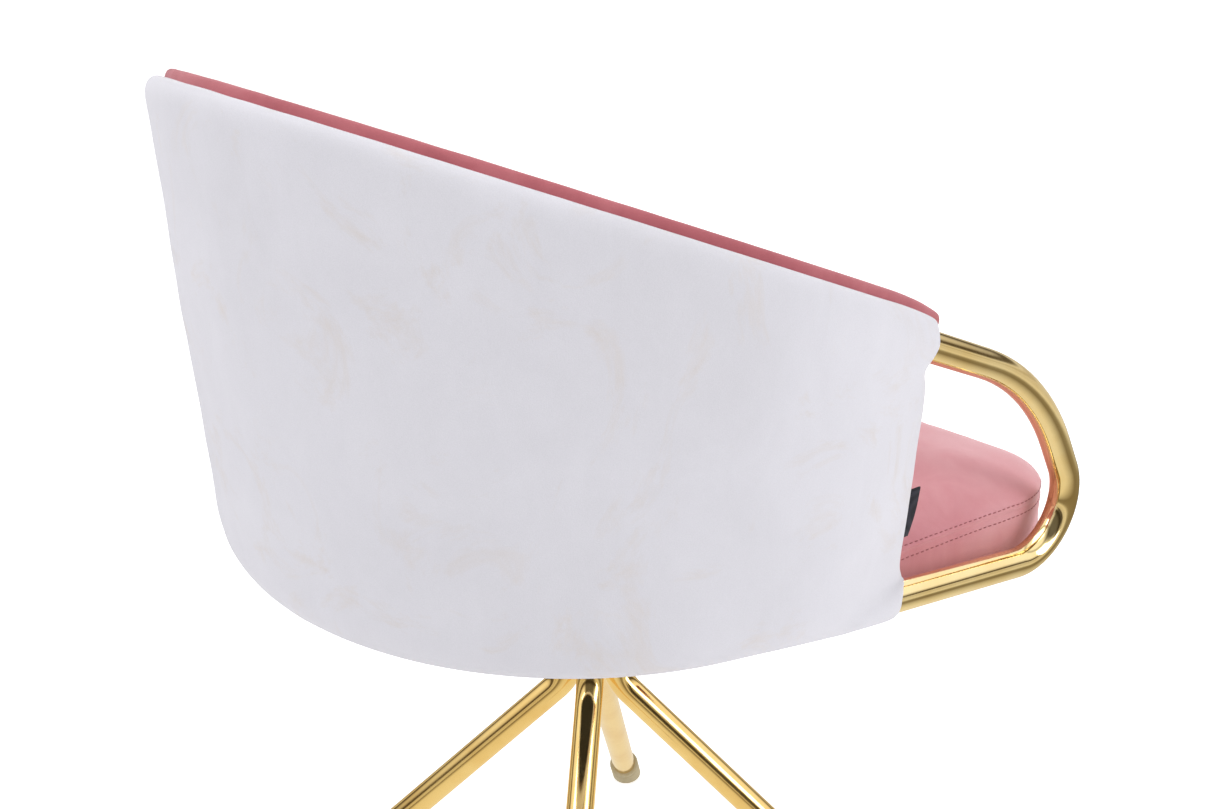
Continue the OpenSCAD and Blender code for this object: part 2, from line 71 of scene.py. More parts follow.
SOCK_OUT = (0.008, -0.006)  # how far it is drawn along the lower and upper run, ahead of the shell's edge
SOCK_IN = 0.052  # how far behind the edge the tube shows through it
SOCK_FADE = 0.024  # and the length over which that bulge then fades

cover_low, cover_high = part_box("outer_cover")
lining_low, lining_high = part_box("inner_pad")
cushion_low, cushion_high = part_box("seat_cushion")
board_low, board_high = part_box("seat_board")
label_low, label_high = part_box("care_label")

BASE_Z = cover_low.z
RIM_BACK_Z = cover_high.z
RIM_BACK_Y = cover_high.y
BASE_R = RIM_BACK_Y - CENTRE_Y - LEAN * (RIM_BACK_Z - BASE_Z)
FRONT_Y = lining_low.y


def wall_r(z, depth=0.0):
    """Radius of the wall about the shell's axis, a given depth inside its outer face."""
    return BASE_R - depth + LEAN * (z - BASE_Z)


def rim_z(phi, depth=0.0):
    """Height of the rim plane above the wall at an angle from straight back."""
    at_back = RIM_BACK_Z + RIM_FALL * (CENTRE_Y - RIM_BACK_Y)
    flat = RIM_FALL * (BASE_R - depth - LEAN * BASE_Z) * np.cos(phi)
    return (at_back + flat) / (1 - RIM_FALL * LEAN * np.cos(phi))


def edge_angle(z, depth=0.0):
    """Angle from straight back at which the wall reaches its front plane."""
    return np.arccos(np.clip((FRONT_Y - CENTRE_Y) / wall_r(z, depth), -1, 1))


def ease(share):
    """A smooth step from 0 to 1."""
    share = np.clip(share, 0, 1)
    return share * share * (3 - 2 * share)


def flare_corners(points):
    """Lean the rim's two front corners forward, fading out behind and below them."""
    corner_z = RIM_BACK_Z - RIM_FALL * (RIM_BACK_Y - FRONT_Y)
    lean = ease(1 - (points[:, 1] - FRONT_Y) / CORNER_FADE[0])
    lean *= ease(1 - (corner_z - points[:, 2]) / CORNER_FADE[1])
    ahead = CORNER_FLARE * lean
    return points - np.stack([0 * lean, ahead, RIM_FALL * ahead + CORNER_DROP * lean ** 2], axis=-1)


def bottom_lift(phi, depth):
    """How far the rounded bottom edge lies above the shell's underside, at a depth in the wall."""
    share = (np.abs(phi) - EDGE_R_SPAN[0]) / (EDGE_R_SPAN[1] - EDGE_R_SPAN[0])
    radius = EDGE_R[0] + (EDGE_R[1] - EDGE_R[0]) * ease(share)
    left = np.clip(radius - depth, 0, radius)
    return radius - np.sqrt(radius ** 2 - left ** 2)


def on_wall(phi, z, depth):
    r = wall_r(z, depth)
    return np.stack([r * np.sin(phi), CENTRE_Y + r * np.cos(phi), z], axis=-1)


# ---- Mesh helpers -------------------------------------------------------------------------------
@contextmanager
def mesh_edit(obj):
    """The object's mesh opened for editing, and written back afterwards."""
    edit = bmesh.new()
    edit.from_mesh(obj.data)
    yield edit
    edit.to_mesh(obj.data)
    edit.free()


def set_smooth(mesh, smooth=True):
    mesh.polygons.foreach_set("use_smooth", [smooth] * len(mesh.polygons))


def new_object(name, data, place=(0, 0, 0), turn=(0, 0, 0)):
    obj = bpy.data.objects.new(name, data)
    obj.location, obj.rotation_euler = place, turn
    bpy.context.scene.collection.objects.link(obj)
    return obj


def new_mesh(name, points, faces, smooth=True):
    mesh = bpy.data.meshes.new(name)
    mesh.from_pydata([tuple(p) for p in points], [], [tuple(f) for f in faces])
    obj = new_object(name, mesh)
    with mesh_edit(obj) as edit:
        bmesh.ops.recalc_face_normals(edit, faces=edit.faces)
    set_smooth(mesh, smooth)
    return obj


def coordinates(obj):
    flat = np.zeros(len(obj.data.vertices) * 3, np.float32)
    obj.data.vertices.foreach_get("co", flat)
    return flat.reshape(-1, 3).astype(float)


def move_vertices(obj, points):
    obj.data.vertices.foreach_set("co", np.asarray(points, np.float32).ravel())
    obj.data.update()


def apply_modifiers(obj):
    graph = bpy.context.evaluated_depsgraph_get()
    mesh = bpy.data.meshes.new_from_object(obj.evaluated_get(graph))
    obj.modifiers.clear()
    old, obj.data = obj.data, mesh
    bpy.data.meshes.remove(old)
    set_smooth(mesh)


def modify(obj, kind, **settings):
    """Add a modifier with these settings and apply it."""
    modifier = obj.modifiers.new(kind.lower(), kind)
    for key, value in settings.items():
        setattr(modifier, key, value)
    apply_modifiers(obj)


def square_patch(xs, ys, inside, height):
    """Points and quads, at a height, of the squares of a flat grid whose middles are inside an outline."""
    index, points, faces = {}, [], []
    wanted = inside(*np.meshgrid((xs[:-1] + xs[1:]) / 2, (ys[:-1] + ys[1:]) / 2, indexing="ij"))
    for i, j in np.argwhere(wanted).tolist():
        face = []
        for corner in ((i, j), (i + 1, j), (i + 1, j + 1), (i, j + 1)):
            if corner not in index:
                index[corner] = len(points)
                points.append((xs[corner[0]], ys[corner[1]], height))
            face.append(index[corner])
        faces.append(face)
    return np.array(points), faces


def lattice_shell(cells):
    """Integer points and quads of the surface of a box of cells."""
    index, points, quads = {}, [], []

    def number(point):
        if point not in index:
            index[point] = len(points)
            points.append(point)
        return index[point]

    for axis in range(3):
        u, v = [k for k in range(3) if k != axis]
        for end in (0, cells[axis]):
            for i in range(cells[u]):
                for j in range(cells[v]):
                    corners = []
                    for di, dj in ((0, 0), (1, 0), (1, 1), (0, 1)):
                        point = [0, 0, 0]
                        point[axis], point[u], point[v] = end, i + di, j + dj
                        corners.append(number(tuple(point)))
                    quads.append(corners)
    return np.array(points), quads


def edge_spacing(i, cells, fine, rounds, length):
    """Place of lattice line i along a side, closely spaced over the round edge at each end."""
    low = rounds[0] * (1 - np.tan(math.pi / 4 * (1 - i / fine[0])))
    high = length - rounds[1] * (1 - np.tan(math.pi / 4 * (1 - (cells - i) / fine[1])))
    span = length - sum(rounds)
    middle = rounds[0] + span * (i - fine[0]) / (cells - sum(fine))
    return np.where(i < fine[0], low, np.where(i > cells - fine[1], high, middle))


def refit(x, full, actual, keep):
    """Stretch places along a span to another length, leaving a stretch at each end as it is."""
    middle = keep + (x - keep) * (actual - 2 * keep) / (full - 2 * keep)
    return np.where(x < keep, x, np.where(x > full - keep, actual - (full - x), middle))


def smooth_noise(points, wavelength, seed):
    """Smooth, repeatable noise from about -1 to 1, as a sum of waves in scattered directions."""
    rng = np.random.default_rng(seed)
    total = np.zeros(len(points))
    for _ in range(9):
        direction = rng.normal(size=3)
        direction *= 2 * math.pi / (wavelength * rng.uniform(0.7, 1.5) * np.linalg.norm(direction))
        total += np.sin(points @ direction + rng.uniform(0, 2 * math.pi))
    return total / 3


def smooth_path(path, rounds):
    """Average each point with its neighbours, which rounds a path's corners; its ends stay."""
    path = np.array(path, float)
    for _ in range(rounds):
        path[1:-1] = (path[:-2] + 2 * path[1:-1] + path[2:]) / 4
    return path


def bent_path(corners, radii, step=0.05):
    """Points of a flat path with an arc of its own radius at each inner corner."""
    corners = [np.array(c, float) for c in corners]
    points = [corners[0]]
    for before, corner, after, radius in zip(corners, corners[1:], corners[2:], radii):
        a = (corner - before) / np.linalg.norm(corner - before)
        b = (after - corner) / np.linalg.norm(after - corner)
        turn = math.atan2(a[0] * b[1] - a[1] * b[0], a @ b)
        inward = math.copysign(1, turn) * np.array([-a[1], a[0]])
        start = corner - a * radius * math.tan(abs(turn) / 2)
        centre = start + inward * radius
        steps = max(2, math.ceil(abs(turn) / step))
        for t in np.linspace(0, abs(turn), steps + 1):
            points.append(centre - inward * radius * math.cos(t) + a * radius * math.sin(t))
    points.append(corners[-1])
    return np.array(points)


def grid_faces(rows, columns, loop=False):
    """Quads between rows of points, each row closed; loop also joins the last row to the first."""
    return [
        tuple((i + di) % rows * columns + (j + dj) % columns for di, dj in ((0, 0), (0, 1), (1, 1), (1, 0)))
        for i in range(rows if loop else rows - 1)
        for j in range(columns)
    ]


def end_faces(rows, columns):
    return [tuple(range(columns)), tuple(range((rows - 1) * columns, rows * columns))]


def folded_ends(rows, columns):
    """End faces where each row goes out and comes back beside itself: a strip of quads at each end."""
    half = columns // 2 - 1
    return [
        tuple(first + k for k in (j, j + 1, columns - 2 - j, columns - 1 - j))
        for first in (0, (rows - 1) * columns)
        for j in range(half)
    ]


def sweep(name, path, profile, ups, sizes=None):
    """A closed bar: a profile of (side, up) offsets carried along a path, with an up for each point."""
    path = np.asarray(path, float)
    ups = np.broadcast_to(np.asarray(ups, float), path.shape)
    sizes = np.ones(len(path)) if sizes is None else np.asarray(sizes)
    ahead = np.gradient(path, axis=0)
    ahead /= np.linalg.norm(ahead, axis=1, keepdims=True)
    side = np.cross(ahead, ups)
    side /= np.linalg.norm(side, axis=1, keepdims=True)
    up = np.cross(side, ahead)
    offsets = np.asarray(profile, float)[None] * sizes[:, None, None]
    rings = path[:, None] + side[:, None] * offsets[:, :, :1] + up[:, None] * offsets[:, :, 1:]
    size = offsets.shape[:2]
    return new_mesh(name, rings.reshape(-1, 3), grid_faces(*size) + end_faces(*size))


def rounded_profile(width, height, steps=6):
    """A stadium outline, as (side, up) offsets."""
    r = width / 2
    rise = height / 2 - r
    arc = np.linspace(0, math.pi, steps + 1)
    top = [(r * math.cos(a), rise + r * math.sin(a)) for a in arc]
    bottom = [(-r * math.cos(a), -rise - r * math.sin(a)) for a in arc]
    return top + bottom


# ---- Materials ----------------------------------------------------------------------------------
class Surface:
    """A material or world built round its main shader; most methods add a node and return its output."""

    def __init__(self, owner, main):
        owner.use_nodes = True
        self.owner = owner
        self.nodes, self.links = owner.node_tree.nodes, owner.node_tree.links
        self.main = self.nodes[main]

    def feed(self, node, inputs):
        """Link sockets to a node's inputs, and set plain numbers and colours on the inputs themselves."""
        for key, value in inputs.items():
            socket = node.inputs[key]
            if isinstance(value, bpy.types.NodeSocket):
                self.links.new(value, socket)
            else:
                socket.default_value = (*value, 1) if socket.type == "RGBA" else value

    def node(self, kind, output, inputs, **settings):
        node = self.nodes.new("ShaderNode" + kind)
        for key, value in settings.items():
            setattr(node, key, value)
        self.feed(node, inputs)
        return node.outputs[output]

    def finish(self, inputs):
        self.feed(self.main, inputs)
        return self.owner

    def space(self, stretch=(1, 1, 1)):
        place = self.node("TexCoord", "Object", {})
        return self.node("Mapping", "Vector", {"Vector": place, "Scale": stretch})

    def noise(self, vector, scale, detail=3.0, roughness=0.5, distortion=0.0):
        return self.node("TexNoise", "Fac", {
            "Vector": vector, "Scale": scale, "Detail": detail,
            "Roughness": roughness, "Distortion": distortion,
        })

    def bands(self, vector, direction, pitch, distortion, **more):
        """Waves of a given pitch in metres along one direction."""
        inputs = {"Vector": vector, "Scale": WAVES_PER_UNIT / pitch, "Distortion": distortion, **more}
        return self.node("TexWave", "Fac", inputs, bands_direction=direction)

    def ramp(self, value, stops):
        """A colour ramp from (position, colour) stops."""
        node = self.nodes.new("ShaderNodeValToRGB")
        elements = node.color_ramp.elements
        while len(elements) < len(stops):
            elements.new(0.5)
        for element, (position, colour) in zip(elements, stops):
            element.position = position
            element.color = (*colour, 1)
        self.links.new(value, node.inputs["Fac"])
        return node.outputs["Color"]

    def mix(self, share, a, b, blend="MIX"):
        return self.node("Mix", 2, {0: share, 6: a, 7: b}, data_type="RGBA", blend_type=blend)

    def scaled(self, value, low, high, from_low=0.0, from_high=1.0):
        return self.node("MapRange", "Result", {
            "Value": value, "To Min": low, "To Max": high, "From Min": from_low, "From Max": from_high,
        })

    def add(self, a, b):
        return self.node("Math", 0, {0: a, 1: b}, operation="ADD")

    def bump(self, height, strength, distance, normal=None):
        inputs = {"Height": height, "Strength": strength, "Distance": distance}
        return self.node("Bump", "Normal", inputs if normal is None else {**inputs, "Normal": normal})

    def either(self, share, a, b):
        """One shader or the other."""
        return self.node("MixShader", "Shader", {"Fac": share, 1: a, 2: b})


WAVES_PER_UNIT = 0.31  # scale of a wave texture whose bands are one unit apart
EVEN = (1, 1, 1)  # the stretch of an even noise


def surface(name):
    return Surface(bpy.data.materials.new(name), "Principled BSDF")


def velvet(name, dark, middle, light, sheen, sheen_tint, patch=6.0, mark=None):
    """Short pile with soft nap patches, a few faint marks and brushed streaks, and a soft sheen."""
    m = surface(name)
    plain = m.space()
    nap = m.noise(plain, patch, 4.0, 0.55, 0.9)
    streaks = m.noise(m.space((1, 1, 0.45)), 30.0, 4.0, 0.65, 0.8)
    pile = m.noise(plain, 1500.0, 2.0, 0.7)
    tone = m.ramp(nap, [(0.30, dark), (0.50, middle), (0.72, light)])
    tone = m.mix(0.30, tone, m.ramp(streaks, [(0.34, dark), (0.55, middle), (0.78, light)]))
    if mark is not None:
        marks = m.noise(plain, 11.0, 5.0, 0.7, 1.6)
        tone = m.mix(m.scaled(marks, 0.0, 0.65, 0.54, 0.72), tone, mark)
    specks = m.ramp(pile, [(0.30, (0.93, 0.93, 0.93)), (0.70, (1.0, 1.0, 1.0))])
    return m.finish({
        "Base Color": m.mix(1.0, tone, specks, "MULTIPLY"),
        "Roughness": m.scaled(nap, 0.95, 0.78, 0.3, 0.7),
        "Specular IOR Level": 0.12,
        "Sheen Weight": sheen,
        "Sheen Roughness": 0.45,
        "Sheen Tint": sheen_tint,
        "Normal": m.bump(pile, 0.28, 0.0004, m.bump(streaks, 0.05, 0.0012)),
    })


def polished_gold(name, colour, deep, roughness):
    """Plated tube: mirror-like, with faint wipe marks and a slight unevenness of the plating."""
    m = surface(name)
    cloudy = m.noise(m.space(), 26.0, 3.0, 0.6)
    wipes = m.noise(m.space((1, 1, 0.3)), 420.0, 2.0, 0.6)
    uneven = m.scaled(cloudy, roughness * 0.7, roughness * 1.4, 0.3, 0.7)
    return m.finish({
        "Base Color": m.ramp(cloudy, [(0.30, deep), (0.62, colour)]),
        "Metallic": 1.0,
        "Roughness": m.add(uneven, m.scaled(wipes, 0.0, 0.035, 0.45, 0.75)),
        "Normal": m.bump(cloudy, 0.05, 0.0006),
    })


def grainy(name, colours, colour_noise, roughness, bumps, metallic=0.0, **more):
    """A plain surface with one noise for its colour and the same or another, finer one for its bump.

    roughness is a number, or the noise it follows and the range that noise is scaled to.
    """
    m = surface(name)
    tints = m.noise(m.space(), *colour_noise)
    stretch, bump_noise, strength = bumps
    relief = tints if bump_noise is None else m.noise(m.space(stretch), *bump_noise)
    if isinstance(roughness, tuple):
        source, *values = roughness
        roughness = m.scaled(tints if source == "colour" else relief, *values)
    return m.finish({
        "Base Color": m.ramp(tints, colours), "Metallic": metallic, "Roughness": roughness,
        "Normal": m.bump(relief, strength, 0.0002), **more,
    })


def moulded_plastic(name, colour, worn):
    """Plastic with a fine spark-eroded grain, a little paler where it scuffs."""
    return grainy(name, [(0.50, colour), (0.80, worn)], (70.0, 4.0, 0.7, 0.8),
                  ("colour", 0.46, 0.66, 0.3, 0.8), (EVEN, (2200.0, 2.0, 0.6), 0.30))


def woven(name, dark, light, pitch):
    """Plain weave from two crossed sets of threads."""
    m = surface(name)
    plain = m.space()
    weave = m.add(*[m.bands(plain, direction, pitch, 0.6, Detail=1.0) for direction in ("X", "Z")])
    return m.finish({
        "Base Color": m.ramp(m.scaled(weave, 0, 1, 0, 2), [(0.2, dark), (0.8, light)]),
        "Roughness": 0.9,
        "Sheen Weight": 0.1,
        "Normal": m.bump(weave, 0.5, pitch * 0.3),
    })


def bonded_fabric(name):
    """Black non-woven lining with small embossed points."""
    m = surface(name)
    plain = m.space()
    points = m.node("TexVoronoi", "Distance", {"Vector": plain, "Scale": 520.0, "Randomness": 0.15})
    fibres = m.noise(plain, 640.0, 4.0, 0.7, 1.5)
    return m.finish({
        "Base Color": m.ramp(fibres, [(0.35, (0.008, 0.008, 0.010)), (0.7, (0.035, 0.035, 0.040))]),
        "Roughness": 0.85,
        "Normal": m.bump(m.add(m.scaled(points, 0, 1, 0, 0.6), fibres), 0.4, 0.0004),
    })


def thin_plywood(name):
    """Thin plies seen on the edge, with pores on the face."""
    m = surface(name)
    plies = m.bands(m.space(), "Z", 0.0028, 0.4)
    grain = m.noise(m.space((30, 2, 30)), 22.0, 4.0, 0.6, 0.5)
    edge = m.ramp(plies, [(0.3, (0.30, 0.17, 0.08)), (0.7, (0.56, 0.38, 0.20))])
    face = m.ramp(grain, [(0.3, (0.36, 0.22, 0.11)), (0.7, (0.60, 0.43, 0.25))])
    return m.finish({
        "Base Color": m.mix(0.5, edge, face), "Roughness": 0.7, "Normal": m.bump(grain, 0.2, 0.0004),
    })


WHITE_VELVET = velvet("white_velvet", (0.655, 0.645, 0.69), (0.69, 0.68, 0.73), (0.725, 0.715, 0.765),
                      0.30, (0.97, 0.95, 1.0), mark=(0.655, 0.60, 0.575))
PINK_VELVET = velvet("pink_velvet", (0.53, 0.19, 0.215), (0.61, 0.25, 0.28), (0.68, 0.34, 0.37),
                     0.80, (1.0, 0.84, 0.86), patch=8.0)
# The piping is the same pink velvet as the lining, given darker base colours: painted shade, the rim's shaded
# tone put into its colour.
PIPING_VELVET_SHADED = velvet("piping_velvet_painted_shade", (0.38, 0.100, 0.118), (0.46, 0.135, 0.155), (0.53, 0.19, 0.21),
                       0.40, (1.0, 0.74, 0.76), patch=12.0)
ARM_GOLD = polished_gold("arm_gold", (0.95, 0.78, 0.43), (0.90, 0.70, 0.34), 0.09)
LEG_GOLD = polished_gold("leg_gold", (0.93, 0.69, 0.29), (0.87, 0.60, 0.22), 0.08)
STEEL = grainy("zinc_steel", [(0.32, (0.46, 0.47, 0.49)), (0.66, (0.66, 0.67, 0.69))],
               (130.0, 4.0, 0.65, 1.2), ("relief", 0.24, 0.46, 0.3, 0.7),
               ((1, 18, 1), (190.0, 2.0, 0.6), 0.12), metallic=1.0)
BRONZE = grainy("sintered_bronze", [(0.35, (0.20, 0.11, 0.05)), (0.6, (0.45, 0.29, 0.14))],
                (900.0, 3.0, 0.7), ("colour", 0.55, 0.35, 0.3, 0.7), (EVEN, None, 0.25), metallic=1.0)
FOOT_PLASTIC = moulded_plastic("foot_plastic", (0.46, 0.38, 0.22), (0.56, 0.49, 0.34))
CAGE_PLASTIC = moulded_plastic("cage_plastic", (0.02, 0.02, 0.022), (0.05, 0.05, 0.05))
LABEL_TAPE = woven("label_tape", (0.006, 0.006, 0.012), (0.03, 0.03, 0.045), 0.0005)
LINING_FABRIC = bonded_fabric("lining_fabric")
PLYWOOD = thin_plywood("plywood")
PINK_THREAD = grainy("pink_thread", [(0.35, (0.238, 0.0595, 0.07)), (0.65, (0.34, 0.085, 0.10))],
                     (2600.0, 1.0, 0.5), 0.6, (EVEN, None, 0.4), **{"Sheen Weight": 0.2})


# ---- Placing pieces -----------------------------------------------------------------------------
def dress(obj, material, body, stands_for=()):
    """Give a piece its material, the body it rides on and the CAD nodes it stands for."""
    obj.data.materials.clear()
    obj.data.materials.append(material)
    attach(obj, body)
    if stands_for:
        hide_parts(*stands_for)
    return obj


def join_meshes(obj, other):
    """Add another object's mesh to this one and remove the other."""
    with mesh_edit(obj) as edit:
        edit.from_mesh(other.data)
    bpy.data.objects.remove(other)


# ---- Shell --------------------------------------------------------------------------------------
HALF_GIRTH = 0.51  # half the length of the wall, along its middle
EDGE_KEEP = 0.045  # stretch beside each edge of a wall slice that keeps its shape


def wall_block(name, depths, low_z, lift, cells, fine, rounds):
    """A closed slice of the wall between two depths, from low_z up to the rim, with rounded edges.

    cells, fine and rounds go along the wall, up it and into it. fine and rounds are pairs, for the
    start and the end of each direction: the cells over its round edge, and that edge's radius.
    """
    height = float(rim_z(0.0)) + lift - low_z
    lengths = (2 * HALF_GIRTH, height, depths[1] - depths[0])
    index, quads = lattice_shell(cells)
    place = np.stack(
        [edge_spacing(index[:, k], cells[k], fine[k], rounds[k], lengths[k]) for k in range(3)], axis=-1
    )
    low = np.array([pair[0] for pair in rounds])
    high = np.array(lengths) - np.array([pair[1] for pair in rounds])
    core = np.clip(place, low, high)
    radii = np.where(place < low, low, np.array([pair[1] for pair in rounds]))
    offset = (place - core) / radii
    offset /= np.linalg.norm(offset, axis=1, keepdims=True)
    along, up, depth = (core + radii * offset).T
    depth = depth + depths[0]
    z = low_z + up
    for _ in range(6):
        edge = edge_angle(z, depth)
        r = wall_r(z, depth)
        phi = refit(along, lengths[0], 2 * edge * r, EDGE_KEEP) / r - edge
        z = low_z + refit(up, height, rim_z(phi, depth) + lift - low_z, EDGE_KEEP)
    obj = new_mesh(name, on_wall(phi, z, depth), quads)
    return obj, phi, z, depth


def away_from_axis(points):
    """Unit directions straight out from the shell's own axis."""
    out = points * (1, 1, 0) - (0, CENTRE_Y, 0)
    return out / np.linalg.norm(out, axis=1, keepdims=True)


ARM_R = 0.011  # radius of the arm tubes
ARM_TILT = math.radians(2.6)  # outward tilt of the arm loops
ARM_HALF_W = 0.252  # distance of the lower arm run from the middle of the chair
ARM_LOW_Z = 0.425  # height at which that run enters the shell
ARM_LOW_FALL = math.radians(6)  # fall of that run towards the front
ARM_CORNER_Y = -0.2895  # front corner of the loop
ARM_FRONT_RUN = 0.182  # length of the loop's front run, between its corners
ARM_FRONT_SLOPE = math.radians(59.6)
ARM_REST_SLOPE = math.radians(22.8)
ARM_STUB = 0.046  # length of each arm end inside the shell
ARM_BENDS = (0.045, 0.200)  # bend radii at the loop's two corners


def polar(length, angle):
    return length * np.array([math.cos(angle), math.sin(angle)])


arm_entry_low = np.array([FRONT_Y, ARM_LOW_Z])
arm_corner_low = arm_entry_low + (ARM_CORNER_Y - FRONT_Y) * np.array([1, math.tan(ARM_LOW_FALL)])
arm_corner_high = arm_corner_low + polar(ARM_FRONT_RUN, ARM_FRONT_SLOPE)
arm_entry_high = arm_corner_high + (FRONT_Y - arm_corner_high[0]) * np.array([1, math.tan(ARM_REST_SLOPE)])
arm_end_low = arm_entry_low + polar(ARM_STUB, ARM_LOW_FALL)
arm_end_high = arm_entry_high + polar(ARM_STUB, ARM_REST_SLOPE)


def in_arm_plane(side, flat):
    """Points of an arm loop's own plane, (y, z), in their place beside the seat."""
    y, rise = flat[..., 0], flat[..., 1] - ARM_LOW_Z
    x = side * (ARM_HALF_W + rise * math.sin(ARM_TILT))
    return np.stack([x, y, ARM_LOW_Z + rise * math.cos(ARM_TILT)], axis=-1)


def draw_over_tubes(points):
    """Pull the cover out over the four arm tubes, into a short collar ahead of the shell's edge."""
    points = points.copy()
    for side in (-1, 1):
        ends = ((arm_entry_low, arm_end_low), (arm_entry_high, arm_end_high))
        for (entry, end), drawn in zip(ends, SOCK_OUT):
            start, finish = in_arm_plane(side, entry), in_arm_plane(side, end)
            axis = (finish - start) / np.linalg.norm(finish - start)
            along = (points - start) @ axis
            foot = start + axis * along[:, None]
            radial = points - foot
            distance = np.linalg.norm(radial, axis=1)
            reach = SOCK_R * ease(1 - (along - SOCK_IN) / SOCK_FADE)
            near = (along > -0.03) & (along < SOCK_IN + SOCK_FADE)
            wanted = np.sqrt(distance ** 2 + (0.75 * reach) ** 2 * np.exp(-((distance / SOCK_R) ** 2)))
            wanted = np.maximum(wanted, np.minimum(reach, distance + SOCK_R))
            grow = np.where(near, np.maximum(wanted - distance, 0), 0)
            points += radial / np.maximum(distance, 1e-6)[:, None] * grow[:, None]
            distance = distance + grow
            beside = np.exp(-((np.maximum(distance - ARM_R, 0) / 0.007) ** 2))
            ahead = beside * np.exp(-((along / 0.010) ** 2))
            points -= axis * (max(drawn, 0) * ahead * near)[:, None]
            back = np.maximum(-drawn - along, 0) * (drawn < 0) * (along > -0.04)
            points += axis * (back * np.exp(-((np.maximum(distance - SOCK_R, 0) / 0.006) ** 2)))[:, None]
    return points


def make_cover():
    """The white cover over its foam: outside wall, rolled rim and front edges, and a bottom edge rounded
    under; its fold under the bottom is made apart and joined to it afterwards.
    """
    cover, phi, z, depth = wall_block(
        "shell_cover", (0.0, SEAM_DEPTH), BASE_Z, 0.0, (156, 60, 8),
        ((5, 5), (6, 6), (6, 1)),
        ((FRONT_ROUND, FRONT_ROUND), (LOW_ROUND, RIM_ROUND), (DEPTH_ROUND, 0.001)),
    )
    height = z - BASE_Z
    z = z + bottom_lift(phi, depth) * np.clip(1 - height / EDGE_LIFT_H, 0, 1)
    points = draw_over_tubes(flare_corners(on_wall(phi, z, depth)))
    out = away_from_axis(points)
    from_rim = np.maximum(rim_z(phi, depth) - z, 0)
    puckers = smooth_noise(np.stack([phi * BASE_R, 0 * phi, 0 * phi], axis=-1), 0.017, 3)
    outer = np.clip(1 - depth / SEAM_DEPTH, 0, 1)
    wave = 0.0007 * smooth_noise(points, 0.11, 1) + 0.0003 * smooth_noise(points, 0.035, 2)
    wave += 0.0005 * puckers * np.exp(-from_rim / 0.012)
    move_vertices(cover, points + out * (wave * outer)[:, None])
    modify(cover, "SUBSURF", levels=1)
    return cover


def make_lining():
    """The pink lining: a padded inner wall, crowned towards the sitter, with two upright seams."""
    lining, phi, z, depth = wall_block(
        "shell_lining", (SEAM_DEPTH + 0.001, WALL_DEPTH), board_high.z + 0.001, 0.004, (150, 56, 9),
        ((5, 5), (2, 6), (1, 6)),
        ((FRONT_ROUND, FRONT_ROUND), (0.003, 0.022), (0.001, 0.024)),
    )
    points = flare_corners(coordinates(lining))
    out = away_from_axis(points)
    inner = np.clip((depth - SEAM_DEPTH) / (WALL_DEPTH - SEAM_DEPTH), 0, 1)
    height = (z - board_high.z) / (rim_z(phi, depth) - board_high.z)
    crown = 0.0045 * np.sin(math.pi * np.clip(height, 0, 1)) ** 0.7
    seams = np.exp(-(((np.abs(phi) - LINING_SEAM) * BASE_R / 0.004) ** 2))
    wave = 0.0008 * smooth_noise(points, 0.09, 11) + 0.0003 * smooth_noise(points, 0.03, 12)
    move = crown + wave - 0.0030 * seams
    move_vertices(lining, points - out * (move * inner)[:, None])
    modify(lining, "SUBSURF", levels=1)
    return lining


def make_piping():
    """Raised pink edge along the rim, rounding the front corners and running down the front edges."""
    z_front = float(rim_z(2.0, PIPING_DEPTH))
    for _ in range(6):
        z_front = float(rim_z(edge_angle(z_front, PIPING_DEPTH), PIPING_DEPTH))
    edge = float(edge_angle(z_front, PIPING_DEPTH))
    rim_phi = np.linspace(-edge, edge, 250)
    rim = on_wall(rim_phi, rim_z(rim_phi, PIPING_DEPTH), PIPING_DEPTH)
    down_z = np.arange(cushion_high.z - 0.004, z_front, 0.004)
    down = on_wall(edge_angle(down_z, SEAM_DEPTH), down_z, SEAM_DEPTH)
    mirrored = down * (-1, 1, 1)
    path = np.concatenate([mirrored, rim[1:-1], down[::-1]])
    rim_up = (0, -math.sin(math.atan(RIM_FALL)), math.cos(math.atan(RIM_FALL)))
    ups = np.concatenate([[(0, -1, 0)] * len(down), [rim_up] * (len(rim) - 2), [(0, -1, 0)] * len(down)])
    on_rim = np.concatenate([[0.0] * len(down), [1.0] * (len(rim) - 2), [0.0] * len(down)])
    path = flare_corners(smooth_path(path, 5))
    ups = smooth_path(ups, 12)
    on_rim = smooth_path(on_rim[:, None], 30)[:, 0]
    path += ups * 0.0012
    piping = sweep("rim_piping_edge", path, rounded_profile(*PIPING_SIZE), ups, 0.45 + 0.55 * on_rim)
    points = coordinates(piping)
    wave = 0.0003 * smooth_noise(points, 0.02, 21)
    move_vertices(piping, points + away_from_axis(points) * wave[:, None])
    return piping


def make_underside_fold():
    """The cover's hem, turned in under the shell and lying flat, gathered into small pleats."""
    steps, rows = 160, 6
    low_edge = float(edge_angle(BASE_Z, 0.03))
    phi = np.linspace(-low_edge, low_edge, steps)
    ring = []
    for layer, order in ((0, range(rows + 1)), (1, range(rows, -1, -1))):
        for row in order:
            depth = HEM_START + (HEM_DEPTH - HEM_START) * row / rows
            pleat = 0.0007 * row / rows * np.sin(phi * BASE_R / 0.0035) * (1 - layer)
            points = on_wall(phi, np.full(steps, BASE_Z), depth)
            points[:, 2] += 0.0006 + 0.0022 * layer + pleat + bottom_lift(phi, depth)
            ring.append(points)
    size = (steps, len(ring))
    points = np.stack(ring, axis=1).reshape(-1, 3)
    return new_mesh("underside_fold", points, grid_faces(*size) + folded_ends(*size))


cover = make_cover()
join_meshes(cover, make_underside_fold())
dress(cover, WHITE_VELVET, "seat", ("outer_cover", "shell_padding"))

lining = dress(make_lining(), PINK_VELVET, "seat", ("inner_pad",))

piping = dress(make_piping(), PIPING_VELVET_SHADED, "seat", ("rim_piping",))


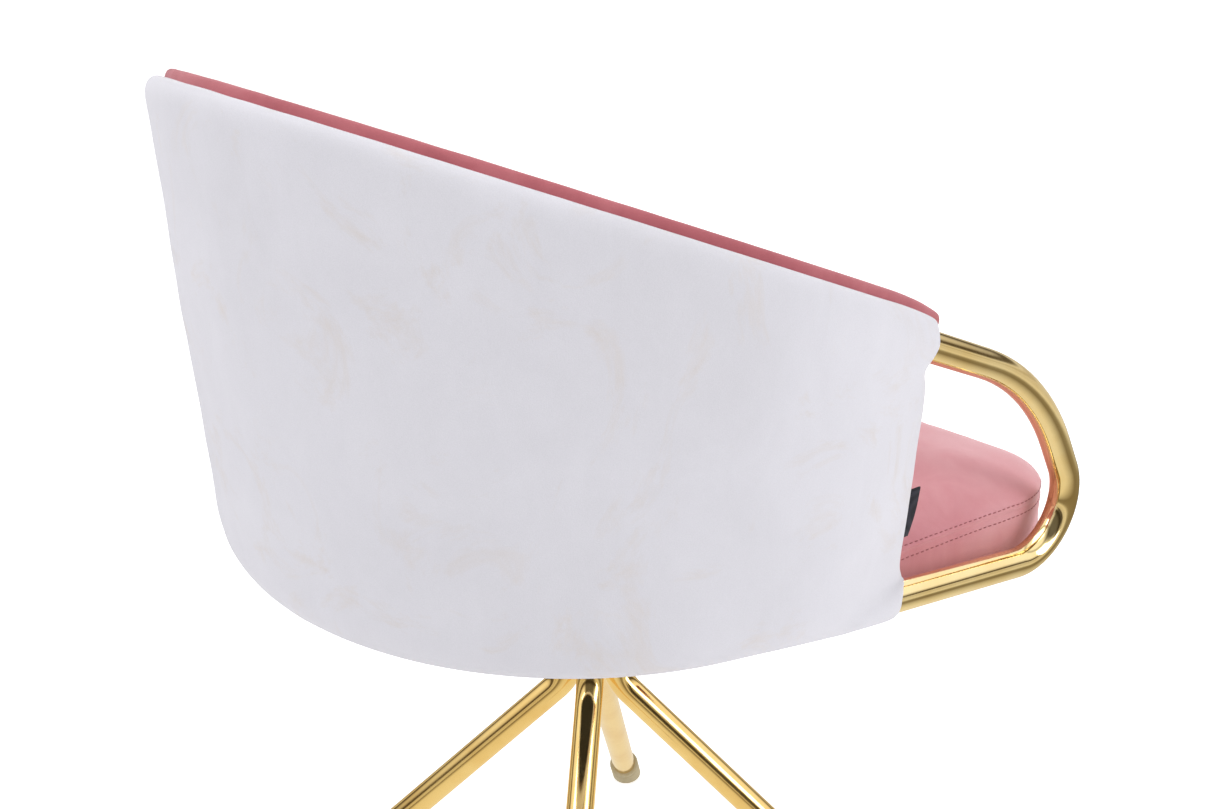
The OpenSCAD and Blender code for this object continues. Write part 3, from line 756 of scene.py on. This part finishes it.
# ---- Seat cushion -------------------------------------------------------------------------------
EAR_HALF_W = (cushion_high.x - cushion_low.x) / 2  # half width of the cushion ahead of the shell
EAR_REAR_Y = FRONT_Y - 0.0015  # rear face of the cushion's two ears, against the shell's front edges
EAR_CORNER_R = 0.074  # roundness of its front corners, seen from above
CUSHION_FRONT_Y = cushion_low.y + 0.001  # front of its outline
REAR_R = cushion_high.y - CENTRE_Y  # radius of its part inside the shell
CUSHION_BASE_Z = cushion_low.z - 0.0035
SKIRT_W = board_low.x - cushion_low.x - 0.005  # width of the skirt that hangs beside the board
INNER_BASE_Z = board_high.z + 0.001  # underside of the cushion on the board, and inside the shell
CUSHION_TOP_Z = cushion_high.z - 0.003  # top of the cushion, without its crown
CUSHION_CROWN = 0.004
SHOULDER_H = 0.019  # how far the top falls towards the outline
SHOULDER_W = 0.090  # and over what width, ahead of the shell
TUCK = 0.0025  # how far its side draws in between the seam and its base
REAR_SHOULDER_W = 0.030  # and inside the shell
SEAM_Z = 0.4435  # height of the seam round its side
STITCH_ROWS = 0.0045  # distance of each row of topstitching from the seam
STITCH_PITCH = 0.0052
SWELL = 0.0025  # how much smaller the cushion starts than it ends
SWELL_CAP = 0.0055  # the farthest that the cloth moves
CLOTH = {
    "use_pressure": True, "uniform_pressure_force": 4, "quality": 5,
    "tension_stiffness": 20, "compression_stiffness": 12, "bending_stiffness": 0.8,
}


def box_distance(x, y, low, high, corner):
    """Distance inside (positive) a rectangle with round corners."""
    cx, cy = (low[0] + high[0]) / 2, (low[1] + high[1]) / 2
    px = np.abs(x - cx) - (high[0] - low[0]) / 2 + corner
    py = np.abs(y - cy) - (high[1] - low[1]) / 2 + corner
    outside = np.hypot(np.maximum(px, 0), np.maximum(py, 0))
    return corner - outside - np.minimum(np.maximum(px, py), 0)


def cushion_distance(x, y, inset=0.0):
    """Distance inside the cushion's outline seen from above."""
    front = box_distance(
        x, y, (-EAR_HALF_W, CUSHION_FRONT_Y), (EAR_HALF_W, EAR_REAR_Y + EAR_CORNER_R), EAR_CORNER_R
    )
    front = np.minimum(front, EAR_REAR_Y - y)
    rear = REAR_R - np.hypot(x, y - CENTRE_Y)
    deep = 2 * EAR_CORNER_R
    joined = np.maximum(front, np.where(y < EAR_REAR_Y, np.minimum(rear, deep), rear))
    blend = 0.012
    mixed = np.log(np.exp(front / blend) + np.exp(np.minimum(rear, 0.2) / blend)) * blend
    blended = np.maximum(joined, np.minimum(mixed, joined + 0.004))
    return np.where(y > EAR_REAR_Y - deep, blended, joined) - inset


def cushion_solid():
    """Closed mesh of quads on a square grid, cut along the cushion's outline, top and bottom alike."""
    pitch = 0.006
    xs = np.arange(-0.252, 0.2521, pitch)
    ys = np.arange(-0.318, 0.240, pitch)
    base, faces = square_patch(xs, ys, lambda x, y: cushion_distance(x, y, SWELL) > 0, CUSHION_BASE_Z)
    edges = {(a, b) for face in faces for a, b in zip(face, face[1:] + face[:1])}
    count = len(base)
    walls = [(a, b, b + count, a + count) for a, b in sorted(edges) if (b, a) not in edges]
    tops = [tuple(corner + count for corner in face) for face in faces]
    points = np.concatenate([base, base + (0, 0, CUSHION_TOP_Z - CUSHION_BASE_Z)])
    return new_mesh("seat_cushion_velvet", points, faces + tops + walls)


def outline_gradient(x, y, inset=0.0):
    """Unit direction, seen from above, that leads away from the cushion's outline, inwards."""
    step = 0.0008
    gx = cushion_distance(x + step, y, inset) - cushion_distance(x - step, y, inset)
    gy = cushion_distance(x, y + step, inset) - cushion_distance(x, y - step, inset)
    size = np.maximum(np.hypot(gx, gy), 1e-9)
    return gx / size, gy / size


def top_drop(x, y):
    """Fall of the top from its middle: a long soft shoulder ahead of the shell, a short one inside."""
    ahead = box_distance(x, y, (-EAR_HALF_W, CUSHION_FRONT_Y), (EAR_HALF_W, 1.0), EAR_CORNER_R) / SHOULDER_W
    within = (REAR_R - np.hypot(x, y - CENTRE_Y)) / REAR_SHOULDER_W
    behind = ease((y - EAR_REAR_Y) / 0.025)
    share = np.clip(ahead, 0, 1) * (1 - behind) + np.clip(within, 0, 1) * behind
    return SHOULDER_H * (1 - np.sqrt(1 - (1 - share) ** 2))


def underside_z(x, y):
    """Height of the cushion's underside: low in its skirt ahead of the shell, on the board elsewhere."""
    inner = ease((cushion_distance(x, y) - SKIRT_W) / 0.003)
    inner = np.maximum(inner, ease((y - EAR_REAR_Y + 0.006) / 0.004))
    return CUSHION_BASE_Z + (INNER_BASE_Z - CUSHION_BASE_Z) * inner


def shape_cushion(points):
    """Pull a roughly cut block to the cushion's outline and dome its top."""
    x, y, z = points.T.copy()
    level = (z > CUSHION_TOP_Z - 0.003) | (z < CUSHION_BASE_Z + 0.002)
    inside = cushion_distance(x, y, SWELL)
    on_level = np.where(inside < 0.020, 0.020 * np.clip((inside - 0.004) / 0.016, 0, 1), inside)
    on_side = np.where(inside < 0.009, 0, inside)
    wanted = np.where(level, on_level, on_side)
    for _ in range(4):
        gx, gy = outline_gradient(x, y, SWELL)
        step = wanted - cushion_distance(x, y, SWELL)
        x, y = x + gx * step, y + gy * step
    height = np.clip((z - CUSHION_BASE_Z) / (CUSHION_TOP_Z - CUSHION_BASE_Z), 0, 1)
    crown = CUSHION_CROWN * (1 - np.exp(-((np.maximum(wanted, 0) / 0.09) ** 2)))
    low = underside_z(x, y)
    return np.stack([x, y, low + height * (CUSHION_TOP_Z + crown - top_drop(x, y) - low)], axis=-1)


def swell_cushion(cushion):
    """Blow the cushion up as cloth, with the movement capped and its base and shell side kept back."""
    start = coordinates(cushion)
    cloth = cushion.modifiers.new("cloth", "CLOTH")
    cloth.collision_settings.use_collision = cloth.collision_settings.use_self_collision = False
    cloth.settings.effector_weights.gravity = 0
    for key, value in CLOTH.items():
        setattr(cloth.settings, key, value)
    for number in range(1, 21):
        bpy.context.scene.frame_set(number)
    apply_modifiers(cushion)
    bpy.context.scene.frame_set(1)
    moved = coordinates(cushion) - start
    size = np.maximum(np.linalg.norm(moved, axis=1, keepdims=True), 1e-9)
    moved *= SWELL_CAP * np.tanh(size / SWELL_CAP) / size
    held = underside_z(start[:, 0], start[:, 1])
    moved *= np.clip((start[:, 2] - held) / 0.012, 0, 1)[:, None]
    start = start + moved
    start[:, 2] = np.maximum(start[:, 2], CUSHION_BASE_Z)
    move_vertices(cushion, start)


def make_cushion():
    """The pink seat cushion: a soft top panel, a seam round its side and a band below it."""
    cushion = cushion_solid()
    modify(cushion, "REMESH", mode="VOXEL", voxel_size=0.005)
    move_vertices(cushion, shape_cushion(coordinates(cushion)))
    modify(cushion, "SMOOTH", iterations=4, factor=0.5)
    swell_cushion(cushion)
    modify(cushion, "SUBSURF", levels=1)
    points = coordinates(cushion)
    x, y, z = points.T
    gx, gy = outline_gradient(x, y)
    side = np.clip(1 - cushion_distance(x, y) / 0.014, 0, 1)
    from_seam = z - SEAM_Z
    groove = 0.0016 * np.exp(-((from_seam / 0.0016) ** 2))
    groove += 0.0006 * np.exp(-(((np.abs(from_seam) - STITCH_ROWS) / 0.0011) ** 2))
    waist = TUCK * np.clip(-from_seam / (SEAM_Z - CUSHION_BASE_Z), 0, 1) ** 1.6
    along = np.stack([x, y, 0 * z], axis=-1)
    pucker = 0.00035 * smooth_noise(along, 0.016, 31) * np.exp(-((from_seam / 0.010) ** 2))
    inward = (groove + waist + pucker) * side
    above = np.clip(from_seam / 0.015, 0, 1)
    slack = (0.0009 * smooth_noise(points, 0.13, 32) + 0.0004 * smooth_noise(points, 0.045, 33)) * above
    out = np.stack([gx * inward, gy * inward, slack], axis=-1)
    move_vertices(cushion, points + out)
    return cushion


def thread_dashes(name, spots, ahead, away, length, radius):
    """A row of stitches: a short bar of thread at each spot, its ends sunk into the fabric."""
    rings = ((-0.5, 0.45, -0.8), (-0.3, 0.95, 0.1), (0.0, 1.0, 0.35), (0.3, 0.95, 0.1), (0.5, 0.45, -0.8))
    sides = 7
    bar = grid_faces(len(rings), sides) + end_faces(len(rings), sides)
    points, faces = [], []
    for spot, along, out in zip(spots, ahead, away):
        across = np.cross(along, out)
        first = len(points)
        for place, size, rise in rings:
            middle = spot + along * place * length + out * rise * radius
            for k in range(sides):
                angle = 2 * math.pi * k / sides
                points.append(middle + radius * size * (across * math.cos(angle) + out * math.sin(angle)))
        faces += [tuple(first + corner for corner in face) for face in bar]
    return new_mesh(name, points, faces)


def side_path(offset, pitch):
    """Places round the cushion's outline ahead of the shell, evenly spaced, just outside it."""
    r = EAR_CORNER_R
    left_x = EAR_HALF_W
    front_y = CUSHION_FRONT_Y
    arc = np.linspace(0, math.pi / 2, 24)
    right_side = [(-left_x, y) for y in np.arange(EAR_REAR_Y - 0.003, front_y + r, -0.003)]
    right_corner = [(-left_x + r - r * math.cos(a), front_y + r - r * math.sin(a)) for a in arc]
    half = np.array(right_side + right_corner)
    outline = np.concatenate([half, (half * (-1, 1))[::-1]])
    lengths = np.concatenate([[0], np.cumsum(np.linalg.norm(np.diff(outline, axis=0), axis=1))])
    places = np.arange(offset, lengths[-1], pitch)
    return np.stack([np.interp(places, lengths, outline[:, k]) for k in (0, 1)], axis=-1)


STITCH_SIZE = (0.0040, 0.00042)  # length and radius of a stitch


def sew(name, piece, places):
    """Stitches on a piece, from (start, direction outwards, direction along the row) of each."""
    tree = BVHTree.FromObject(piece, bpy.context.evaluated_depsgraph_get())
    spots, ahead, away = [], [], []
    for start, outward, along in places:
        hit, normal, _, _ = tree.ray_cast(start, -outward, 0.08)
        if hit is None:
            continue
        normal = normal if normal.dot(outward) > 0 else -normal
        spots.append(np.array(hit))
        ahead.append(np.array((along - normal * along.dot(normal)).normalized()))
        away.append(np.array(normal))
    return thread_dashes(name, spots, ahead, away, *STITCH_SIZE)


def make_topstitch(cushion):
    """Two rows of topstitching, one above and one below the cushion's side seam."""
    places = []
    for row in (-1, 1):
        outline = side_path(0.002, STITCH_PITCH)
        for (x, y), (dx, dy) in zip(outline, np.gradient(outline, axis=0)):
            along = Vector((dx, dy, 0)).normalized()
            outward = Vector((along.y, -along.x, 0))
            if outward.dot(Vector((x, y + 0.15, 0))) < 0:
                outward = -outward
            places.append((Vector((x, y, SEAM_Z + row * STITCH_ROWS)) + outward * 0.03, outward, along))
    return sew("seat_topstitch", cushion, places)


cushion = dress(make_cushion(), PINK_VELVET, "seat", ("seat_cushion",))
dress(make_topstitch(cushion), PINK_THREAD, "seat")


def make_lining_stitches(lining):
    """A row of topstitching on each side of the lining's two upright seams."""
    places = []
    for side in (-1, 1):
        for row in (-1, 1):
            phi = side * LINING_SEAM + row * 0.0035 / BASE_R
            inward = Vector((-math.sin(phi), -math.cos(phi), 0))
            along = Vector((LEAN * math.sin(phi), LEAN * math.cos(phi), 1))
            top = float(rim_z(phi, WALL_DEPTH)) - 0.012
            for z in np.arange(cushion_high.z + 0.004, top, STITCH_PITCH):
                places.append((Vector(on_wall(np.float64(phi), np.float64(z), 0.10)), inward, along))
    return sew("lining_topstitch", lining, places)


dress(make_lining_stitches(lining), PINK_THREAD, "seat")


# ---- Label --------------------------------------------------------------------------------------
def make_label():
    """A blank loop of woven tape held in the shell's front edge, tapering towards its bottom."""
    x = (label_low.x + label_high.x) / 2
    out, ply, loop = label_high.y - label_low.y, 0.00035, 0.0008
    turn = [math.pi / 2 * (1 + 2 * k / 10) for k in range(11)]
    outline = [(0.006, loop)] + [(-out + loop + loop * math.cos(a), loop * math.sin(a)) for a in turn]
    outline += [(0.006, -loop)]
    inner = [(0.006, loop - ply)]
    inner += [(-out + loop + (loop - ply) * math.cos(a), (loop - ply) * math.sin(a)) for a in turn]
    inner += [(0.006, -loop + ply)]
    ring = outline + inner[::-1]
    rows = 15
    points = []
    for row in range(rows + 1):
        share = row / rows
        z = label_low.z + (label_high.z - label_low.z) * share
        reach = 0.50 + 0.65 * share
        lean = 0.0012 * math.sin(math.pi * share)
        for back, across in ring:
            y = label_high.y + back * (reach if back < 0 else 1)
            points.append((x + across - lean * max(0, -back) / out, y, z))
    size = (rows + 1, len(ring))
    return new_mesh("blank_label", points, grid_faces(*size) + folded_ends(*size))


dress(make_label(), LABEL_TAPE, "seat", ("care_label",))


# ---- Tubes --------------------------------------------------------------------------------------
SIDE_NAMES = {1: "left", -1: "right"}
LEG_R = 0.011  # radius of the leg tubes
LEG_BUNDLE_R = LEG_R * math.sqrt(2) + 0.0003  # distance of each upright run from the swivel axis
LEG_KNEE_Z = 0.281
LEG_SPLAY = math.radians(45)
LEG_KNEE_R = 0.050
LEG_END_Z = 0.013
FOOT_R = 0.014
CAP_GRIP = 0.026
LEGS = [(end, side) for end in ("front", "rear") for side in (1, -1)]
base_plate_low, base_plate_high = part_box("base_plate")


def circle_profile(radius, sides=56):
    angles = [2 * math.pi * k / sides for k in range(sides)]
    return [(radius * math.cos(a), radius * math.sin(a)) for a in angles]


def dense(path, step=0.006):
    """The same path with points added along its straight runs, and its own points kept."""
    points = [path[0]]
    for a, b in zip(path, path[1:]):
        count = max(1, int(np.linalg.norm(b - a) / step))
        points += [a + (b - a) * k / count for k in range(1, count + 1)]
    return np.array(points)


def make_arm(side):
    corners = [arm_end_low, arm_corner_low, arm_corner_high, arm_end_high]
    path = in_arm_plane(side, dense(bent_path(corners, ARM_BENDS)))
    across = (math.cos(ARM_TILT), 0, -side * math.sin(ARM_TILT))
    return sweep(f"arm_tube_{SIDE_NAMES[side]}", path, circle_profile(ARM_R), across)


def in_leg_plane(end, side, flat):
    """Points of a leg's own plane, (distance from the swivel axis, height), in place."""
    angle = math.radians(45) if side > 0 else math.radians(135)
    angle = -angle if end == "front" else angle
    r = flat[..., 0]
    return np.stack([r * math.cos(angle), r * math.sin(angle), flat[..., 1]], axis=-1)


leg_slope = np.array([math.sin(LEG_SPLAY), -math.cos(LEG_SPLAY)])
leg_knee = np.array([LEG_BUNDLE_R, LEG_KNEE_Z])
leg_end = leg_knee + leg_slope * (LEG_KNEE_Z - LEG_END_Z) / math.cos(LEG_SPLAY)


def leg_across(end, side):
    """Unit direction square to a leg's plane."""
    out = in_leg_plane(end, side, np.array([1.0, 0.0]))
    return np.cross(out, (0, 0, 1))


def make_leg(end, side):
    flat = dense(bent_path([np.array([LEG_BUNDLE_R, base_plate_low.z]), leg_knee, leg_end], [LEG_KNEE_R]))
    path = in_leg_plane(end, side, flat)
    return sweep(f"leg_tube_{end}_{SIDE_NAMES[side]}", path, circle_profile(LEG_R), leg_across(end, side))


def make_foot(end, side):
    """A moulded cap on a leg's end, with a rounded mouth and a rib, cut off level with the floor."""
    along = [0.0, 0.0003, 0.0012, 0.0030, 0.0060, 0.0064, 0.0080, 0.0084]
    less = [0.0026, 0.0012, 0.0003, 0.0, 0.0, 0.0008, 0.0008, 0.0]  # radius short of the cap's own
    straight = np.linspace(0.010, CAP_GRIP + 3 * LEG_END_Z, 14)
    along = np.concatenate([along, straight])
    size = FOOT_R - np.concatenate([less, 0 * straight])
    flat = leg_end + np.outer(along - CAP_GRIP, leg_slope)
    path = in_leg_plane(end, side, flat)
    foot = sweep(f"foot_cap_{end}_{SIDE_NAMES[side]}", path, circle_profile(1.0), leg_across(end, side), size)
    with mesh_edit(foot) as edit:
        parts = edit.verts[:] + edit.edges[:] + edit.faces[:]
        bmesh.ops.bisect_plane(edit, geom=parts, plane_co=(0, 0, 0), plane_no=(0, 0, -1), clear_outer=True)
        bmesh.ops.holes_fill(edit, edges=[e for e in edit.edges if e.is_boundary], sides=0)
        bmesh.ops.recalc_face_normals(edit, faces=edit.faces)
    foot.data.set_sharp_from_angle(angle=math.radians(35))
    return foot


def make_weld(end, side, number):
    """The rippled weld bead where a leg meets the base plate."""
    steps, ripples, sides = 150, 34, 10
    centre = in_leg_plane(end, side, np.array([LEG_BUNDLE_R, base_plate_low.z - 0.0006]))
    rng = np.random.default_rng(40 + number)
    phase = rng.uniform(0, 2 * math.pi)
    points = []
    for i in range(steps):
        a = 2 * math.pi * i / steps
        bead = 0.0019 + 0.0003 * math.sin(ripples * a + phase) + 0.0002 * math.sin(3 * a + phase)
        for k in range(sides):
            b = 2 * math.pi * k / sides
            r = LEG_R + 0.0006 + bead * math.cos(b)
            points.append(centre + np.array([r * math.cos(a), r * math.sin(a), bead * math.sin(b)]))
    return new_mesh(f"weld_{end}_{SIDE_NAMES[side]}", points, grid_faces(steps, sides, loop=True))


for side in (1, -1):
    dress(make_arm(side), ARM_GOLD, "seat", (f"arm_{SIDE_NAMES[side]}",))
for number, (end, side) in enumerate(LEGS):
    label_of = f"{end}_{SIDE_NAMES[side]}"
    dress(make_leg(end, side), LEG_GOLD, "base", (f"leg_{label_of}",))
    dress(make_foot(end, side), FOOT_PLASTIC, "base", (f"foot_{label_of}",))
    dress(make_weld(end, side, number), LEG_GOLD, "base")


# ---- Under the seat -----------------------------------------------------------------------------
HUB_HOLE_R = 0.026  # hole in the dust cover round the swivel's nut
dust_low, dust_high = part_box("dust_cover")


def make_dust_cover():
    """Black lining fabric stretched under the seat, with faint slack in it."""
    pitch, corner = 0.008, 0.022
    (half_w, rear_y, _), (_, front, z) = dust_high, dust_low
    rear_r = rear_y - CENTRE_Y

    def inside(x, y):
        ahead = box_distance(x, y, (-half_w, front), (half_w, EAR_REAR_Y + corner), corner)
        return np.maximum(np.minimum(ahead, EAR_REAR_Y - y), rear_r - np.hypot(x, y - CENTRE_Y))

    xs, ys = [np.linspace(a, b, round((b - a) / pitch) + 1) for a, b in ((-half_w, half_w), (front, rear_y))]
    wanted = lambda x, y: (inside(x, y) > 0) & (np.hypot(x, y) > HUB_HOLE_R)
    points, faces = square_patch(xs, ys, wanted, z + 0.0004)
    x, y = points[:, :2].T.copy()
    for _ in range(3):
        beyond = np.maximum(-inside(x, y), 0)
        gx = (inside(x + 0.001, y) - inside(x - 0.001, y)) / 0.002
        gy = (inside(x, y + 0.001) - inside(x, y - 0.001)) / 0.002
        x, y = x + beyond * gx, y + beyond * gy
    points[:, :2] = np.stack([x, y], axis=-1)
    cloth = new_mesh("dust_cover_cloth", points, faces)
    modify(cloth, "SOLIDIFY", thickness=0.0006, offset=0)
    points = coordinates(cloth)
    slack = np.clip(inside(points[:, 0], points[:, 1]) / 0.03, 0, 1)
    points[:, 2] -= slack * (0.0010 + 0.0006 * smooth_noise(points * (1, 1, 0), 0.10, 51))
    points[:, 2] = np.minimum(points[:, 2], z + 0.0008)
    move_vertices(cloth, points)
    return cloth


def make_staples():
    """Staples through the dust cover and the hem, a few centimetres apart."""
    phi = np.arange(-1.6, 1.61, 0.13)
    spots = on_wall(phi, np.full(len(phi), BASE_Z), HEM_DEPTH - 0.006) - (0, 0, 0.0002)
    ahead = np.stack([np.cos(phi), -np.sin(phi), 0 * phi], axis=-1)
    away = np.tile([0.0, 0.0, -1.0], (len(phi), 1))
    return thread_dashes("hem_staples", spots, ahead, away, 0.010, 0.0005)


dust = dress(make_dust_cover(), LINING_FABRIC, "seat", ("dust_cover",))
dress(make_staples(), STEEL, "seat")


# ---- CAD pieces that stay -----------------------------------------------------------------------
CAD_FINISHES = {
    PLYWOOD: ("shell_core", "seat_board"),
    LEG_GOLD: ("base_plate",),
    BRONZE: ("pivot_bush",),
    CAGE_PLASTIC: ("ball_cage",),
    STEEL: (
        "arm_strap_left", "arm_strap_right", "arm_spacers", "arm_bolts", "tee_nuts", "seat_bolts",
        "swivel_upper_plate", "pivot_washer", "pivot_nut", "king_pin", "swivel_lower_plate",
        "bearing_balls", "plate_screws", "plate_nuts",
    ),
}
for material, names in CAD_FINISHES.items():
    for name in names:
        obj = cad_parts[name]
        obj.data.materials.clear()
        obj.data.materials.append(material)
        set_smooth(obj.data)
        obj.data.set_sharp_from_angle(angle=math.radians(30))


# ---- Studio -------------------------------------------------------------------------------------
CAMERA_PLACE = (-0.96128, 0.76057, 0.96575)
CAMERA_HEADING = math.radians(-38.89)
CAMERA_PITCH = math.radians(20.32)
CAMERA_LENS = 50.94
LIGHT_TARGET = (0, 0, 0.5)  # the lamps all look at this place
WORLD_STRENGTH = 0.63
FLOOR_HALF = 12  # half the side of the floor
DARK_WINDOW = (-0.74, 0.60, 0.30)  # direction of a dark gap in the room, seen only in polished metal


def make_camera():
    data = bpy.data.cameras.new("camera")
    data.lens = CAMERA_LENS
    data.sensor_width = 36
    data.clip_start = 0.01
    turn = (math.pi / 2 - CAMERA_PITCH, 0, CAMERA_HEADING - math.pi / 2)
    bpy.context.scene.camera = new_object("camera", data, CAMERA_PLACE, turn)


def soft_light(name, place, size, power):
    data = bpy.data.lights.new(name, "AREA")
    data.shape = "RECTANGLE"
    data.size, data.size_y = size
    data.energy = power
    turn = (Vector(LIGHT_TARGET) - Vector(place)).to_track_quat("-Z", "Y").to_euler()
    new_object(name, data, place, turn)


def make_floor():
    """A pale floor: white to the camera, and a warmer, dimmer one in polished metal."""
    m = surface("floor")
    path = m.nodes.new("ShaderNodeLightPath").outputs
    m.finish({
        "Base Color": (0.93, 0.93, 0.93),
        "Roughness": 0.9,
        "Specular IOR Level": 0.0,
        "Emission Color": (1, 1, 1),
        "Emission Strength": m.scaled(path["Is Camera Ray"], 0.12, 0.60),
    })
    distance = m.node("VectorMath", "Value", {0: m.space((0.25, 0.25, 0.25))}, operation="LENGTH")
    in_metal = m.ramp(distance, [
        (0.00, (0.95, 0.90, 0.78)), (0.14, (0.85, 0.79, 0.66)), (0.30, (0.24, 0.20, 0.13)),
        (0.42, (0.30, 0.26, 0.18)), (0.60, (0.80, 0.75, 0.64)), (1.00, (0.70, 0.65, 0.55)),
    ])
    seen = m.node("Emission", "Emission", {"Color": in_metal})
    both = m.either(path["Is Glossy Ray"], m.main.outputs["BSDF"], seen)
    m.links.new(both, m.nodes["Material Output"].inputs["Surface"])
    corners = [(x * FLOOR_HALF, y * FLOOR_HALF, 0) for x, y in ((-1, -1), (1, -1), (1, 1), (-1, 1))]
    floor = new_mesh("studio_floor", corners, [(0, 1, 2, 3)], smooth=False)
    floor.data.materials.append(m.owner)


def make_world():
    """White to the camera, even light on the chair, and a bright room with dark gaps in polished metal."""
    world = bpy.data.worlds.new("studio")
    bpy.context.scene.world = world
    m = Surface(world, "Background")
    m.finish({"Color": (1, 1, 1), "Strength": WORLD_STRENGTH})
    direction = m.node("TexCoord", "Generated", {})
    height = m.node("SeparateXYZ", "Z", {"Vector": direction})
    room = m.ramp(height, [
        (0.00, (0.50, 0.45, 0.36)), (0.05, (0.70, 0.66, 0.58)), (0.10, (0.12, 0.10, 0.07)),
        (0.17, (0.08, 0.06, 0.04)), (0.23, (0.60, 0.56, 0.50)), (0.32, (0.95, 0.93, 0.90)),
        (0.66, (1.00, 0.99, 0.97)), (0.74, (0.45, 0.42, 0.38)), (0.84, (1.00, 1.00, 0.98)),
    ])
    toward = m.node("VectorMath", "Value", {0: direction, 1: DARK_WINDOW}, operation="DOT_PRODUCT")
    room = m.mix(m.scaled(toward, 0.0, 0.9, 0.66, 0.86), room, (0.035, 0.028, 0.018))
    mirror = m.node("Background", "Background", {"Color": room, "Strength": 1.15})
    white = m.node("Background", "Background", {"Color": (1, 1, 1), "Strength": 1.05})
    path = m.nodes.new("ShaderNodeLightPath").outputs
    lit = m.either(path["Is Glossy Ray"], m.main.outputs["Background"], mirror)
    final = m.either(path["Is Camera Ray"], lit, white)
    m.links.new(final, m.nodes["World Output"].inputs["Surface"])


make_camera()
make_floor()
make_world()
soft_light("key", (0.3, 2.4, 2.3), (1.4, 1.4), 24)
soft_light("top", (0.2, 0.1, 2.6), (1.8, 1.8), 17)
soft_light("side", (-2.2, -1.0, 1.1), (0.9, 1.6), 19)
soft_light("front", (1.8, -2.0, 1.7), (1.2, 1.2), 12)
bpy.context.scene.view_settings.view_transform = "Standard"
